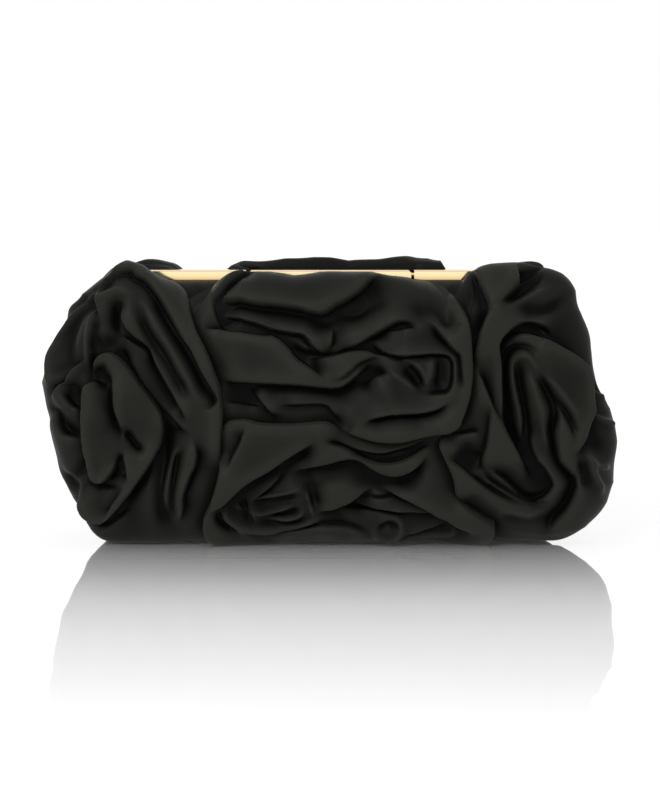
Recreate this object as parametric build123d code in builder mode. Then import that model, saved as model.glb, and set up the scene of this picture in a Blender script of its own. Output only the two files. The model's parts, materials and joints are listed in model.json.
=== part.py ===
from build123d import *
import os

# An evening clutch. Two rigid half shells, padded and covered in gathered satin rosettes,
# are held in a pair of gilt sheet-metal frames that hinge at the bottom like a book.
# A long bar across the middle of the top tilts on two small pins and carries the
# spring hook that keeps the halves shut.
#
# Frame: +X along the bag, +Z up, front of the bag towards -Y, origin under the middle of
# the bag on the surface that it stands on. Millimetres. The halves part at the XZ plane.
# A front piece is drawn on Plane.XZ, whose normal is -Y, so its depths are positive.

os.makedirs("parts", exist_ok=True)

# ---- driving dimensions -------------------------------------------------------------
BAG_HALF_WIDTH = 137.5
BAG_HALF_DEPTH = 40.0
BAG_TOP = 136.0
BAG_CORNER = 45.0
BAG_EDGE = 22.0

FRAME_HALF_WIDTH = 112.0
FRAME_BOTTOM = 8.5
FRAME_TOP = 131.5
FRAME_CORNER = 24.0
FRAME_DEPTH = 8.0
FRAME_WALL = 1.4
FLANGE_WIDTH = 8.3
FLANGE_THICK = 1.2
PARTING = 0.15
FRAME_ROUND = 0.6

SHELL_DEPTH = 24.0
SHELL_WALL = 1.6
SHELL_EDGE = 14.0
RIM_INSET = 2.4
RIM_THICK = 1.4
LINING_THICK = 0.8
LINING_GAP = 0.1
PADDING_THICK = 2.8
COVER_THICK = 1.0
SKIRT_NEAR = FRAME_DEPTH + 0.2

HINGE_Z = 6.5
HINGE_X = 72.0
BARREL_RADIUS = 1.9
HINGE_PIN_RADIUS = 1.0
RUNNING_GAP = 0.05
LEAF_LENGTH = 36.0
LEAF_THICK = 0.75
LEAF_NEAR = 2.3
LEAF_FAR = 7.8
KNUCKLES = 5
KNUCKLE_GAP = 0.2
RIVET_RADIUS = 0.8
RIVET_SPACING = 11.0

CLASP_HALF_LENGTH = 39.0
RECESS_HALF_LENGTH = 40.5
CLASP_FRONT = 9.0
CLASP_REAR = 8.6
CLASP_PLATE = 1.7
CLASP_RAIL_BOTTOM = 126.8
CLASP_RAIL_BACK = 4.9
CLASP_PIVOT_Y = -6.6
CLASP_PIVOT_Z = 129.3
CLASP_PIN_RADIUS = 0.8
RECESS_FLOOR = 125.4
REAR_RECESS_FLOOR = 129.6
WEB_THICK = 1.0
END_BLOCK = 4.5

# Where the satin is divided into rosettes, seen from the front of its own side.
LEFT_SPLIT = -52.5
RIGHT_SPLIT = 65.5
MIDDLE_SPLIT = 58.0
ROSETTE_GAP = 0.5

# ---- sizes that follow --------------------------------------------------------------
FRAME_MIDDLE = (FRAME_BOTTOM + FRAME_TOP) / 2
FRAME_HEIGHT = FRAME_TOP - FRAME_BOTTOM
DOME_INSET = FLANGE_WIDTH + 0.2
HUGE = 400.0
BOTH_SIDES = (-1, 1)


def frame_outline(grow):
    """The frame's rounded outline, grown by an amount, in the sketch that is being drawn."""
    with Locations((0, FRAME_MIDDLE)):
        RectangleRounded(
            2 * (FRAME_HALF_WIDTH + grow), FRAME_HEIGHT + 2 * grow, FRAME_CORNER + grow
        )


def block(x_range, y_range, z_range):
    """A plain box between two values on each axis, for adding to a part or cutting it."""
    size = [high - low for low, high in (x_range, y_range, z_range)]
    middle = [(high + low) / 2 for low, high in (x_range, y_range, z_range)]
    return Pos(*middle) * Box(*size, mode=Mode.PRIVATE)


def dome(grow, near, far, edge):
    """The shell's outline grown by an amount, from y = -near to y = -far, its front rounded."""
    with BuildPart() as solid:
        with BuildSketch(Plane.XZ.offset(near)):
            frame_outline(grow - DOME_INSET)
        extrude(amount=far - near)
        fillet(solid.faces().sort_by(Axis.Y)[0].edges(), radius=edge)
    return solid.part


def rim(depth, thick):
    """A flat plate against the frame's flange, from y = -depth towards the parting."""
    with BuildPart() as plate:
        with BuildSketch(Plane.XZ.offset(depth - thick)):
            frame_outline(-RIM_INSET)
        extrude(amount=thick)
    return plate.part


def front_to_rear(solid):
    """The same piece on the other side of the parting plane."""
    return mirror(solid, about=Plane.XZ, mode=Mode.PRIVATE)


def write(solid, name):
    """Labels a finished piece and writes it to its own file."""
    solid.label = name
    export_step(solid, f"parts/{name}.step")


# ---- gilt frames --------------------------------------------------------------------
# Each half is an L-section ring: an outer wall, and a flange that holds the shell's rim.
def frame_ring():
    with BuildPart() as ring:
        with BuildSketch(Plane.XZ.offset(PARTING)):
            frame_outline(0)
        extrude(amount=FRAME_DEPTH - PARTING)
        fillet(ring.faces().sort_by(Axis.Y)[0].edges(), radius=FRAME_ROUND)
        with BuildSketch(Plane.XZ.offset(PARTING)):
            frame_outline(-FRAME_WALL)
        extrude(amount=FRAME_DEPTH - FLANGE_THICK - PARTING, mode=Mode.SUBTRACT)
        with BuildSketch(Plane.XZ.offset(PARTING)):
            frame_outline(-FLANGE_WIDTH)
        extrude(amount=FRAME_DEPTH, mode=Mode.SUBTRACT)
        rivet_places = [(side * HINGE_X + x, y) for side in BOTH_SIDES for x, y in LEAF_RIVETS]
        with Locations([(x, y, FRAME_BOTTOM) for x, y in rivet_places]):
            Cylinder(RIVET_RADIUS, 4 * FRAME_WALL, mode=Mode.SUBTRACT)
    return ring.part


LEAF_RIVETS = [(x, -(LEAF_NEAR + LEAF_FAR) / 2) for x in (-RIVET_SPACING, RIVET_SPACING)]
INNER_DEPTH = FRAME_DEPTH - FLANGE_THICK

# The front frame drops below the clasp bar and has solid ends that carry the bar's pins.
with BuildPart() as front_frame:
    add(frame_ring())
    add(
        block((-RECESS_HALF_LENGTH, RECESS_HALF_LENGTH), (-HUGE, HUGE), (RECESS_FLOOR, HUGE)),
        mode=Mode.SUBTRACT,
    )
    for side in BOTH_SIDES:
        ends = sorted((side * RECESS_HALF_LENGTH, side * (RECESS_HALF_LENGTH + END_BLOCK)))
        add(block(ends, (-INNER_DEPTH, -PARTING), (RECESS_FLOOR - WEB_THICK, FRAME_TOP - 0.4)))
    web = RECESS_HALF_LENGTH + END_BLOCK
    add(block((-web, web), (-INNER_DEPTH, -PARTING), (RECESS_FLOOR - WEB_THICK, RECESS_FLOOR)))
    with Locations(Location((0, CLASP_PIVOT_Y, CLASP_PIVOT_Z), (0, 90, 0))):
        Cylinder(CLASP_PIN_RADIUS, 2 * (RECESS_HALF_LENGTH + 4.2), mode=Mode.SUBTRACT)
write(front_frame.part, "front_frame")

# The rear frame is lowered by the thickness of the bar's plate, with a slot for the hook.
HOOK_SLOT_HALF = 10.0
HOOK_SLOT_DEPTH = 4.4
CATCH_RIVET_Z = 126.8
CATCH_RIVET_X = (-8, 8)
with BuildPart() as rear_frame:
    add(front_to_rear(frame_ring()))
    add(
        block((-RECESS_HALF_LENGTH, RECESS_HALF_LENGTH), (-HUGE, HUGE), (REAR_RECESS_FLOOR, HUGE)),
        mode=Mode.SUBTRACT,
    )
    web = RECESS_HALF_LENGTH + WEB_THICK
    rear_web = (REAR_RECESS_FLOOR - WEB_THICK, REAR_RECESS_FLOOR)
    add(block((-web, web), (PARTING, INNER_DEPTH), rear_web))
    for side in BOTH_SIDES:
        ends = sorted((side * RECESS_HALF_LENGTH, side * web))
        add(block(ends, (PARTING, INNER_DEPTH), (rear_web[0], FRAME_TOP - 0.4)))
    add(
        block((-HOOK_SLOT_HALF, HOOK_SLOT_HALF), (0, HOOK_SLOT_DEPTH), (rear_web[0] - 1, HUGE)),
        mode=Mode.SUBTRACT,
    )
    with Locations([Location((x, INNER_DEPTH, CATCH_RIVET_Z), (90, 0, 0)) for x in CATCH_RIVET_X]):
        Cylinder(RIVET_RADIUS, 4, mode=Mode.SUBTRACT)
write(rear_frame.part, "rear_frame")

# ---- shells, linings, padding and covers --------------------------------------------
# Room for the clasp's works: the rims stop short of the recess at the top of each frame,
# the rear ones also clear the catch, and the front padding and cover clear the bar.
RIM_FACE = INNER_DEPTH - 0.1
LINING_FACE = RIM_FACE - RIM_THICK - LINING_GAP
NOTCH_HALF_WIDTH = RECESS_HALF_LENGTH + END_BLOCK + 1
FRONT_NOTCH = block(
    (-NOTCH_HALF_WIDTH, NOTCH_HALF_WIDTH), (-HUGE, HUGE), (RECESS_FLOOR - WEB_THICK - 0.3, HUGE)
)
REAR_NOTCH = block(
    (-NOTCH_HALF_WIDTH, NOTCH_HALF_WIDTH), (-HUGE, HUGE), (rear_web[0] - 0.3, HUGE)
) + block((-16, 16), (-RIM_FACE - 0.05, 0), (123.4, HUGE))
CLASP_ROOM = block((-42.5, 42.5), (-11, 0), (RECESS_FLOOR - WEB_THICK - 0.4, HUGE))


def shell(notch):
    with BuildPart() as part:
        add(dome(0, RIM_FACE - RIM_THICK, SHELL_DEPTH, SHELL_EDGE))
        add(rim(RIM_FACE, RIM_THICK))
        hollow = dome(
            -SHELL_WALL,
            RIM_FACE - RIM_THICK - 1,
            SHELL_DEPTH - SHELL_WALL,
            SHELL_EDGE - SHELL_WALL,
        )
        add(hollow, mode=Mode.SUBTRACT)
        add(notch, mode=Mode.SUBTRACT)
    return part.part


def lining(notch):
    outer = SHELL_WALL + LINING_GAP
    inner = outer + LINING_THICK
    with BuildPart() as part:
        add(dome(-outer, LINING_FACE - LINING_THICK, SHELL_DEPTH - outer, SHELL_EDGE - outer))
        add(rim(LINING_FACE, LINING_THICK))
        hollow = dome(
            -inner, LINING_FACE - LINING_THICK - 1, SHELL_DEPTH - inner, SHELL_EDGE - inner
        )
        add(hollow, mode=Mode.SUBTRACT)
        add(notch, mode=Mode.SUBTRACT)
    return part.part


def layer(inside, thick, room):
    """A layer of soft material over the dome, from one thickness outside it to the next."""
    outside = inside + thick
    with BuildPart() as part:
        add(dome(outside, SKIRT_NEAR, SHELL_DEPTH + outside, SHELL_EDGE + outside))
        under = dome(inside, SKIRT_NEAR - 4, SHELL_DEPTH + inside, SHELL_EDGE + inside)
        add(under, mode=Mode.SUBTRACT)
        add(room, mode=Mode.SUBTRACT)
    return part.part


NO_ROOM = block((-1, 1), (-1, 0), (-2, -1))
write(shell(FRONT_NOTCH), "front_shell")
write(front_to_rear(shell(REAR_NOTCH)), "rear_shell")
write(lining(FRONT_NOTCH), "front_lining")
write(front_to_rear(lining(REAR_NOTCH)), "rear_lining")
write(layer(0, PADDING_THICK, CLASP_ROOM), "front_padding")
write(front_to_rear(layer(0, PADDING_THICK, NO_ROOM)), "rear_padding")
write(layer(PADDING_THICK, COVER_THICK, CLASP_ROOM), "front_cover")
write(front_to_rear(layer(PADDING_THICK, COVER_THICK, NO_ROOM)), "rear_cover")

# ---- rosettes -----------------------------------------------------------------------
# The gathered satin stands on the cover. Outside the frame it reaches in to the parting
# plane; below the hinge's axis it slopes away, so that the halves can swing apart.
SATIN_NEAR = 1.0
SATIN_OVER_FRAME = 9.5
WEDGE_HEIGHT = 7.2
WEDGE_DEPTH = 13.5


def satin_mass(top):
    with BuildPart() as mass:
        with BuildSketch(Plane.XZ.offset(SATIN_NEAR)):
            with Locations((0, BAG_TOP / 2)):
                RectangleRounded(2 * BAG_HALF_WIDTH, BAG_TOP, BAG_CORNER)
        extrude(amount=BAG_HALF_DEPTH - SATIN_NEAR)
        fillet(mass.faces().sort_by(Axis.Y)[0].edges(), radius=BAG_EDGE)
        core = PADDING_THICK + COVER_THICK
        add(
            dome(core, SKIRT_NEAR - 4, SHELL_DEPTH + core, SHELL_EDGE + core),
            mode=Mode.SUBTRACT,
        )
        with BuildSketch(Plane.XZ):
            frame_outline(0.6)
        extrude(amount=SATIN_OVER_FRAME, mode=Mode.SUBTRACT)
        over_frame = (-SATIN_OVER_FRAME, 0)
        add(block((-104, 104), over_frame, (60, HUGE)), mode=Mode.SUBTRACT)
        add(block((-113, 113), over_frame, (-1, 30)), mode=Mode.SUBTRACT)
        add(CLASP_ROOM, mode=Mode.SUBTRACT)
        add(block((-HUGE, HUGE), (-HUGE, 0), (top, HUGE)), mode=Mode.SUBTRACT)
        with BuildSketch(Plane.YZ.offset(-HUGE / 2)):
            with BuildLine():
                Polyline(
                    (0, WEDGE_HEIGHT), (-WEDGE_DEPTH, 0), (-WEDGE_DEPTH, -1), (0, -1), close=True
                )
            make_face()
        extrude(amount=HUGE, mode=Mode.SUBTRACT)
    return mass.part


def rosettes(top):
    """The four rosettes of one side, cut from its mass of satin, by name."""
    half = ROSETTE_GAP / 2
    depth, height = (-HUGE, HUGE), (-HUGE, HUGE)
    middle = (LEFT_SPLIT + half, RIGHT_SPLIT - half)
    rooms = {
        "left": block((-HUGE, LEFT_SPLIT - half), depth, height),
        "right": block((RIGHT_SPLIT + half, HUGE), depth, height),
        "upper": block(middle, depth, (MIDDLE_SPLIT + half, HUGE)),
        "lower": block(middle, depth, (-HUGE, MIDDLE_SPLIT - half)),
    }
    mass = satin_mass(top)
    found = {}
    for name, room in rooms.items():
        with BuildPart() as rosette:
            add(mass)
            add(room, mode=Mode.INTERSECT)
        found[name] = rosette.part
    return found


FRONT_SATIN_TOP = 135.0
UPPER_SATIN_TOP = 131.0
for name, rosette in rosettes(FRONT_SATIN_TOP).items():
    if name == "upper":
        rosette = rosette - block((-HUGE, HUGE), (-HUGE, HUGE), (UPPER_SATIN_TOP, HUGE))
    write(rosette, f"front_rosette_{name}")
for name, rosette in rosettes(BAG_TOP).items():
    write(rosette.rotate(Axis.Z, 180), f"rear_rosette_{name}")

# ---- hinges -------------------------------------------------------------------------
# Two short butt hinges under the frames. Even knuckles belong to the front leaf.
PITCH = LEAF_LENGTH / KNUCKLES
RIVET_HEAD_RADIUS = 1.4
RIVET_HEAD = 0.6


def hinge_leaf(side, front):
    towards = -1 if front else 1
    centre = side * HINGE_X
    leaf_low = FRAME_BOTTOM - LEAF_THICK - 0.05
    leaf_z = (leaf_low, leaf_low + LEAF_THICK)
    with BuildPart() as leaf:
        plate = sorted((towards * LEAF_NEAR, towards * LEAF_FAR))
        add(block((centre - LEAF_LENGTH / 2, centre + LEAF_LENGTH / 2), plate, leaf_z))
        for k in range(1 if front else 0, KNUCKLES, 2):
            start = centre - LEAF_LENGTH / 2 + k * PITCH + KNUCKLE_GAP / 2
            end = start + PITCH - KNUCKLE_GAP
            add(block((start, end), sorted((0, towards * (LEAF_NEAR + 0.1))), leaf_z))
            with Locations(Location(((start + end) / 2, 0, HINGE_Z), (0, 90, 0))):
                Cylinder(BARREL_RADIUS, end - start)
        with Locations(Location((centre, 0, HINGE_Z), (0, 90, 0))):
            Cylinder(HINGE_PIN_RADIUS + RUNNING_GAP, LEAF_LENGTH + 2, mode=Mode.SUBTRACT)
        with Locations([(centre + x, -towards * y, leaf_low) for x, y in LEAF_RIVETS]):
            Cylinder(RIVET_RADIUS, 4 * LEAF_THICK, mode=Mode.SUBTRACT)
    return leaf.part


def hinge_rivets(front):
    """Four rivets: shank through leaf and frame, a domed head outside, a flat one inside."""
    towards = 1 if front else -1
    low = FRAME_BOTTOM - LEAF_THICK - 0.05
    high = FRAME_BOTTOM + FRAME_WALL
    with BuildPart() as rivets:
        places = [(s * HINGE_X + x, towards * y) for s in BOTH_SIDES for x, y in LEAF_RIVETS]
        with Locations([(x, y, (low + high) / 2) for x, y in places]):
            Cylinder(RIVET_RADIUS, high - low)
        with Locations([(x, y, high + RIVET_HEAD / 2) for x, y in places]):
            Cylinder(RIVET_HEAD_RADIUS, RIVET_HEAD)
        with Locations([(x, y, low - RIVET_HEAD / 2) for x, y in places]):
            Cylinder(RIVET_HEAD_RADIUS, RIVET_HEAD)
        rounded = rivets.edges().filter_by(GeomType.CIRCLE).group_by(Axis.Z)[0]
        fillet(rounded, radius=0.7 * RIVET_HEAD)
    return rivets.part


def hinge_pin(side):
    """A headed pin through all the knuckles of one hinge."""
    with BuildPart() as pin:
        with Locations(Location((side * HINGE_X, 0, HINGE_Z), (0, 90, 0))):
            Cylinder(HINGE_PIN_RADIUS, LEAF_LENGTH + 1)
        for end in BOTH_SIDES:
            head_x = side * HINGE_X + end * (LEAF_LENGTH / 2 + 0.45)
            with Locations(Location((head_x, 0, HINGE_Z), (0, 90, 0))):
                Cylinder(1.6 * HINGE_PIN_RADIUS, 0.8)
    return pin.part


for side, word in zip(BOTH_SIDES, ("left", "right")):
    write(hinge_leaf(side, True), f"front_hinge_leaf_{word}")
    write(hinge_leaf(side, False), f"rear_hinge_leaf_{word}")
    write(hinge_pin(side), f"hinge_pin_{word}")
write(hinge_rivets(True), "front_hinge_rivets")
write(hinge_rivets(False), "rear_hinge_rivets")

# ---- clasp --------------------------------------------------------------------------
PIN_INNER_END = 36.9
PIN_OUTER_END = 44.6
with BuildPart() as clasp_bar:
    length = (-CLASP_HALF_LENGTH, CLASP_HALF_LENGTH)
    add(block(length, (-CLASP_FRONT, CLASP_REAR), (FRAME_TOP - CLASP_PLATE, FRAME_TOP)))
    add(block(length, (-CLASP_FRONT, -CLASP_RAIL_BACK), (CLASP_RAIL_BOTTOM, FRAME_TOP)))
    upper_ends = clasp_bar.faces().sort_by(Axis.Z)[-1].edges().filter_by(Axis.Y)
    chamfer(upper_ends, length=1.3)
    fillet(clasp_bar.faces().sort_by(Axis.Z)[-1].edges().filter_by(Axis.X), radius=0.7)
    for side in BOTH_SIDES:
        middle = side * (PIN_INNER_END + CLASP_HALF_LENGTH) / 2
        with Locations(Location((middle, CLASP_PIVOT_Y, CLASP_PIVOT_Z), (0, 90, 0))):
            Cylinder(
                CLASP_PIN_RADIUS + RUNNING_GAP,
                CLASP_HALF_LENGTH - PIN_INNER_END + 0.4,
                mode=Mode.SUBTRACT,
            )
    with Locations([(x, 0.2, FRAME_TOP - CLASP_PLATE) for x in (-5, 5)]):
        Cylinder(0.7, 1.6, mode=Mode.SUBTRACT)
write(clasp_bar.part, "clasp_bar")

with BuildPart() as clasp_pins:
    for side in BOTH_SIDES:
        middle = side * (PIN_INNER_END + PIN_OUTER_END) / 2
        with Locations(Location((middle, CLASP_PIVOT_Y, CLASP_PIVOT_Z), (0, 90, 0))):
            Cylinder(CLASP_PIN_RADIUS, PIN_OUTER_END - PIN_INNER_END)
write(clasp_pins.part, "clasp_pivot_pins")

# The hook is one strip of spring steel: a foot under the bar, a leg, and a ramped barb.
HOOK_HALF_WIDTH = 8.0
HOOK_STRIP = 0.6
LEG_Y = 2.0
LEG_BOTTOM = 121.6
BARB_TOP = 124.0
BARB_OUT = 1.9
foot_top = FRAME_TOP - CLASP_PLATE
with BuildPart() as spring_hook:
    with BuildSketch(Plane.YZ.offset(-HOOK_HALF_WIDTH)):
        with BuildLine():
            Polyline(
                (-2.4, foot_top),
                (LEG_Y + HOOK_STRIP, foot_top),
                (LEG_Y + HOOK_STRIP, BARB_TOP),
                (LEG_Y + BARB_OUT, BARB_TOP),
                (LEG_Y + HOOK_STRIP, LEG_BOTTOM),
                (LEG_Y, LEG_BOTTOM),
                (LEG_Y, foot_top - HOOK_STRIP),
                (-2.4, foot_top - HOOK_STRIP),
                close=True,
            )
        make_face()
    extrude(amount=2 * HOOK_HALF_WIDTH)
    with Locations([(x, 0.2, foot_top) for x in (-5, 5)]):
        Cylinder(0.7, 1.6, mode=Mode.SUBTRACT)
write(spring_hook.part, "spring_hook")

with BuildPart() as hook_rivets:
    with Locations([(x, 0.2, foot_top) for x in (-5, 5)]):
        Cylinder(0.7, 1.2)
    with Locations([(x, 0.2, foot_top - HOOK_STRIP - 0.25) for x in (-5, 5)]):
        Cylinder(1.2, 0.5)
write(hook_rivets.part, "hook_rivets")

# The catch is an angle plate on the rear frame's flange; its lip stands over the barb.
CATCH_HALF_WIDTH = 12.0
CATCH_THICK = 0.9
CATCH_LIP_Y = 3.1
lip = (BARB_TOP + 0.2, BARB_TOP + 0.2 + CATCH_THICK)
catch_x = (-CATCH_HALF_WIDTH, CATCH_HALF_WIDTH)
with BuildPart() as catch_plate:
    add(block(catch_x, (INNER_DEPTH - CATCH_THICK, INNER_DEPTH), (lip[0], rear_web[0])))
    add(block(catch_x, (CATCH_LIP_Y, INNER_DEPTH), lip))
    with Locations([Location((x, INNER_DEPTH, CATCH_RIVET_Z), (90, 0, 0)) for x in CATCH_RIVET_X]):
        Cylinder(RIVET_RADIUS, 4, mode=Mode.SUBTRACT)
write(catch_plate.part, "catch_plate")

with BuildPart() as catch_rivets:
    with Locations([Location((x, INNER_DEPTH, CATCH_RIVET_Z), (90, 0, 0)) for x in CATCH_RIVET_X]):
        Cylinder(RIVET_RADIUS, 2 * CATCH_THICK)
    head_y = INNER_DEPTH - CATCH_THICK - RIVET_HEAD / 2
    with Locations([Location((x, head_y, CATCH_RIVET_Z), (90, 0, 0)) for x in CATCH_RIVET_X]):
        Cylinder(RIVET_HEAD_RADIUS, RIVET_HEAD)
write(catch_rivets.part, "catch_rivets")

# ---- inside the bag -----------------------------------------------------------------
# A slip pocket on the rear lining, and a folded satin gusset at each end.
POCKET_HALF_WIDTH = 62.0
POCKET_Z = (32.0, 96.0)
POCKET_WALL = 1.0
POCKET_ROOM = 1.6
pocket_back = SHELL_DEPTH - SHELL_WALL - LINING_GAP - LINING_THICK
pocket_front = pocket_back - POCKET_ROOM - POCKET_WALL
with BuildPart() as inner_pocket:
    sides = (-POCKET_HALF_WIDTH, POCKET_HALF_WIDTH)
    add(block(sides, (pocket_front, pocket_back), POCKET_Z))
    inside = (-POCKET_HALF_WIDTH + POCKET_WALL, POCKET_HALF_WIDTH - POCKET_WALL)
    room = (pocket_front + POCKET_WALL, pocket_back + 1)
    add(block(inside, room, (POCKET_Z[0] + POCKET_WALL, HUGE)), mode=Mode.SUBTRACT)
write(inner_pocket.part, "inner_pocket")

with BuildPart() as pocket_trim:
    add(block(sides, (pocket_front - 0.7, pocket_front), (POCKET_Z[1] - 7, POCKET_Z[1])))
write(pocket_trim.part, "pocket_trim")

GUSSET_X = (98.5, 108.5)
GUSSET_Z = (25.0, 96.0)
GUSSET_HALF_DEPTH = LINING_FACE - LINING_THICK - 0.3
for side, word in zip(BOTH_SIDES, ("left", "right")):
    with BuildPart() as gusset:
        across = sorted((side * GUSSET_X[0], side * GUSSET_X[1]))
        add(block(across, (-GUSSET_HALF_DEPTH, GUSSET_HALF_DEPTH), GUSSET_Z))
    write(gusset.part, f"gusset_{word}")
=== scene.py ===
import json
import math

import bmesh
import bpy
import numpy as np
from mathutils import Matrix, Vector


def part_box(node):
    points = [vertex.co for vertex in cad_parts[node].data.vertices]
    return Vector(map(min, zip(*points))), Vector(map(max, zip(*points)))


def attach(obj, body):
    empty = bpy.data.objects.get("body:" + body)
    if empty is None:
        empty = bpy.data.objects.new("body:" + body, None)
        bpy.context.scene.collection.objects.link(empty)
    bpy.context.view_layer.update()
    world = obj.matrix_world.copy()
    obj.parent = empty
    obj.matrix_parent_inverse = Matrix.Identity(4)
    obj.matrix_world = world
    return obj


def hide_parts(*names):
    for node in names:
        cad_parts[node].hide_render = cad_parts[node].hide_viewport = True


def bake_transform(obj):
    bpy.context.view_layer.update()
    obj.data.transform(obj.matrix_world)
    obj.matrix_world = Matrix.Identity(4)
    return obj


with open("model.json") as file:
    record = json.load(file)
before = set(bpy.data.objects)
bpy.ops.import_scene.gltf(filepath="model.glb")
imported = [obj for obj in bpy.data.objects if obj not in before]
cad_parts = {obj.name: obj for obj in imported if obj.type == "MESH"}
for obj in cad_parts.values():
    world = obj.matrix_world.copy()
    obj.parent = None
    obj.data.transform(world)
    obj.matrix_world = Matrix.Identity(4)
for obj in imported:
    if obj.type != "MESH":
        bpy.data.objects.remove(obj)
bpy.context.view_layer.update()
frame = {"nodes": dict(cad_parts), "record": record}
NODES = frame["nodes"]
MM = 0.001


# ---- sizes read from the frame, in millimetres ----
def box_mm(*names):
    boxes = [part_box(name) for name in names]
    low = [min(b[0][i] for b in boxes) / MM for i in range(3)]
    high = [max(b[1][i] for b in boxes) / MM for i in range(3)]
    return low, high


SATIN_LOW, SATIN_HIGH = box_mm("front_rosette_left", "front_rosette_right")
FRAME_LOW, FRAME_HIGH = box_mm("front_frame")
BAG_HALF = SATIN_HIGH[0]
FACE = -SATIN_LOW[1]
FRAME_TOP = FRAME_HIGH[2]
FRAME_HALF = FRAME_HIGH[0]
FRAME_FACE = -FRAME_LOW[1]
FRAME_MIDDLE = (FRAME_LOW[2] + FRAME_HIGH[2]) / 2
FRAME_HALF_HEIGHT = (FRAME_HIGH[2] - FRAME_LOW[2]) / 2
COVER_LOW, COVER_HIGH = box_mm("front_cover")

# Roundings of the frame's corners and of the cover's and the lining's edges, and the width
# of the lining's rim and its thickness with the slack.
FRAME_CORNER = 24.0
EDGE_OUT, EDGE_IN = 17.8, 11.5
LINING_RIM, LINING_WALL = 8.6, 0.85

# Room that the cloth leaves for the clasp bar, its hook and the catch plate: half lengths
# along the bag, heights under it, and how far in front of the parting it starts.
BAR_ROOM_HALF = 43.2
BAR_ROOM_LOW = FRAME_TOP - 7.9
BAR_ROOM_FRONT = 11.2
COVER_ROOM_HALF = 43.5
COVER_ROOM_LOW = FRAME_TOP - 7.7
LATCH_ROOM_HALF = 46.6
FRONT_LATCH_ROOM_LOW = FRAME_TOP - 7.6
REAR_LATCH_ROOM_LOW = FRAME_TOP - 3.4
CATCH_ROOM_HALF = 16.5
CATCH_ROOM_LOW = FRAME_TOP - 8.4


# ---- small mathematics ----
def smooth(t):
    t = np.clip(t, 0, 1)
    return t * t * (3 - 2 * t)


def unit(v):
    return v / np.maximum(np.linalg.norm(v, axis=-1, keepdims=True), 1e-9)


def blur(field, cells):
    """Gaussian blur of a grid, one axis after the other."""
    reach = int(math.ceil(3 * cells))
    taps = np.exp(-0.5 * (np.arange(-reach, reach + 1) / cells) ** 2)
    taps /= taps.sum()
    for axis in (0, 1):
        pad = [(0, 0)] * field.ndim
        pad[axis] = (reach, reach)
        wide = np.pad(field, pad, mode="edge")
        total = np.zeros_like(field)
        for k, tap in enumerate(taps):
            cut = [slice(None)] * field.ndim
            cut[axis] = slice(k, k + field.shape[axis])
            total += tap * wide[tuple(cut)]
        field = total
    return field


def curve_through(points, step=0.8):
    """A smooth line through given points, as closely spaced points."""
    p = np.asarray(points, float)
    if len(p) == 2:
        p = np.array([p[0], p.mean(0), p[1]])
    p = np.vstack([2 * p[0] - p[1], p, 2 * p[-1] - p[-2]])
    out = []
    for a, b, c, d in zip(p[:-3], p[1:-2], p[2:-1], p[3:]):
        n = max(2, int(np.linalg.norm(c - b) / step))
        t = np.linspace(0, 1, n, endpoint=False)[:, None]
        out.append(
            0.5
            * (2 * b + (c - a) * t + (2 * a - 5 * b + 4 * c - d) * t**2 + (3 * b - a - 3 * c + d) * t**3)
        )
    out.append(p[-2][None])
    return np.vstack(out)


def measure(line, u, v):
    """Signed distance from each point to a line (positive on its left), the way along it
    from 0 to 1, the length so far in mm, and the unit direction of growing distance."""
    a, b = line[:-1], line[1:]
    ab = b - a
    length = np.linalg.norm(ab, axis=1)
    start = np.concatenate([[0], np.cumsum(length)[:-1]])
    best = np.full(u.shape, 1e9)
    sign = np.ones(u.shape)
    along = np.zeros(u.shape)
    gu, gv = np.zeros(u.shape), np.zeros(u.shape)
    for k in range(len(a)):
        if length[k] < 1e-6:
            continue
        pu, pv = u - a[k, 0], v - a[k, 1]
        t = np.clip((pu * ab[k, 0] + pv * ab[k, 1]) / length[k] ** 2, 0, 1)
        du, dv = pu - t * ab[k, 0], pv - t * ab[k, 1]
        d = np.hypot(du, dv)
        near = d < best
        side = np.where(ab[k, 0] * pv - ab[k, 1] * pu >= 0, 1.0, -1.0)
        best = np.where(near, d, best)
        sign = np.where(near, side, sign)
        along = np.where(near, start[k] + t * length[k], along)
        gu = np.where(near, side * du / np.maximum(d, 1e-6), gu)
        gv = np.where(near, side * dv / np.maximum(d, 1e-6), gv)
    return best * sign, along, length.sum(), gu, gv


# ---- the padded form that the satin lies on ----
# A flat middle with a rounded border. A place on the satin is given by flat coordinates
# (u, v): inside the middle they are x and z, and outside it they run on along the cloth.
# SIGHT_LIFT is how much lower a point of the face looks than it is, seen a little from above.
ROUND = 32.0
CORE_HALF = BAG_HALF - ROUND
CORE_CORNER = 14.0
FORM_LOW, FORM_TOP = 0.5, FRAME_TOP - 0.5
FORM_MIDDLE = (FORM_TOP + FORM_LOW) / 2
CORE_HIGH = FORM_MIDDLE - FORM_LOW - ROUND
# Distances from the parting: of the flat middle, and of the line where the bag is widest.
# Behind that line the cloth runs on by BACK_TURN, to an end at the side or at the frame.
FRONT = FACE - 2.5
WIDEST = 15.0
BACK_TURN = 24.0
ARC = np.linspace(0, math.pi / 2, 60)
ARC_R = ROUND * np.sin(ARC)
ARC_Y = -WIDEST - (FRONT - WIDEST) * np.cos(ARC)
ARC_WAY = np.concatenate([[0], np.cumsum(np.hypot(np.diff(ARC_R), np.diff(ARC_Y)))])
ROUND_WAY = ARC_WAY[-1]
CLOTH_END = ROUND_WAY + BACK_TURN
SIDE_END = 1.6
FRONT_END = FRAME_FACE + 1.9
TOP_TURN = 6.0
MIDDLE_BULGE, BULGE_HALF_HEIGHT = 2.5, 60.0
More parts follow.
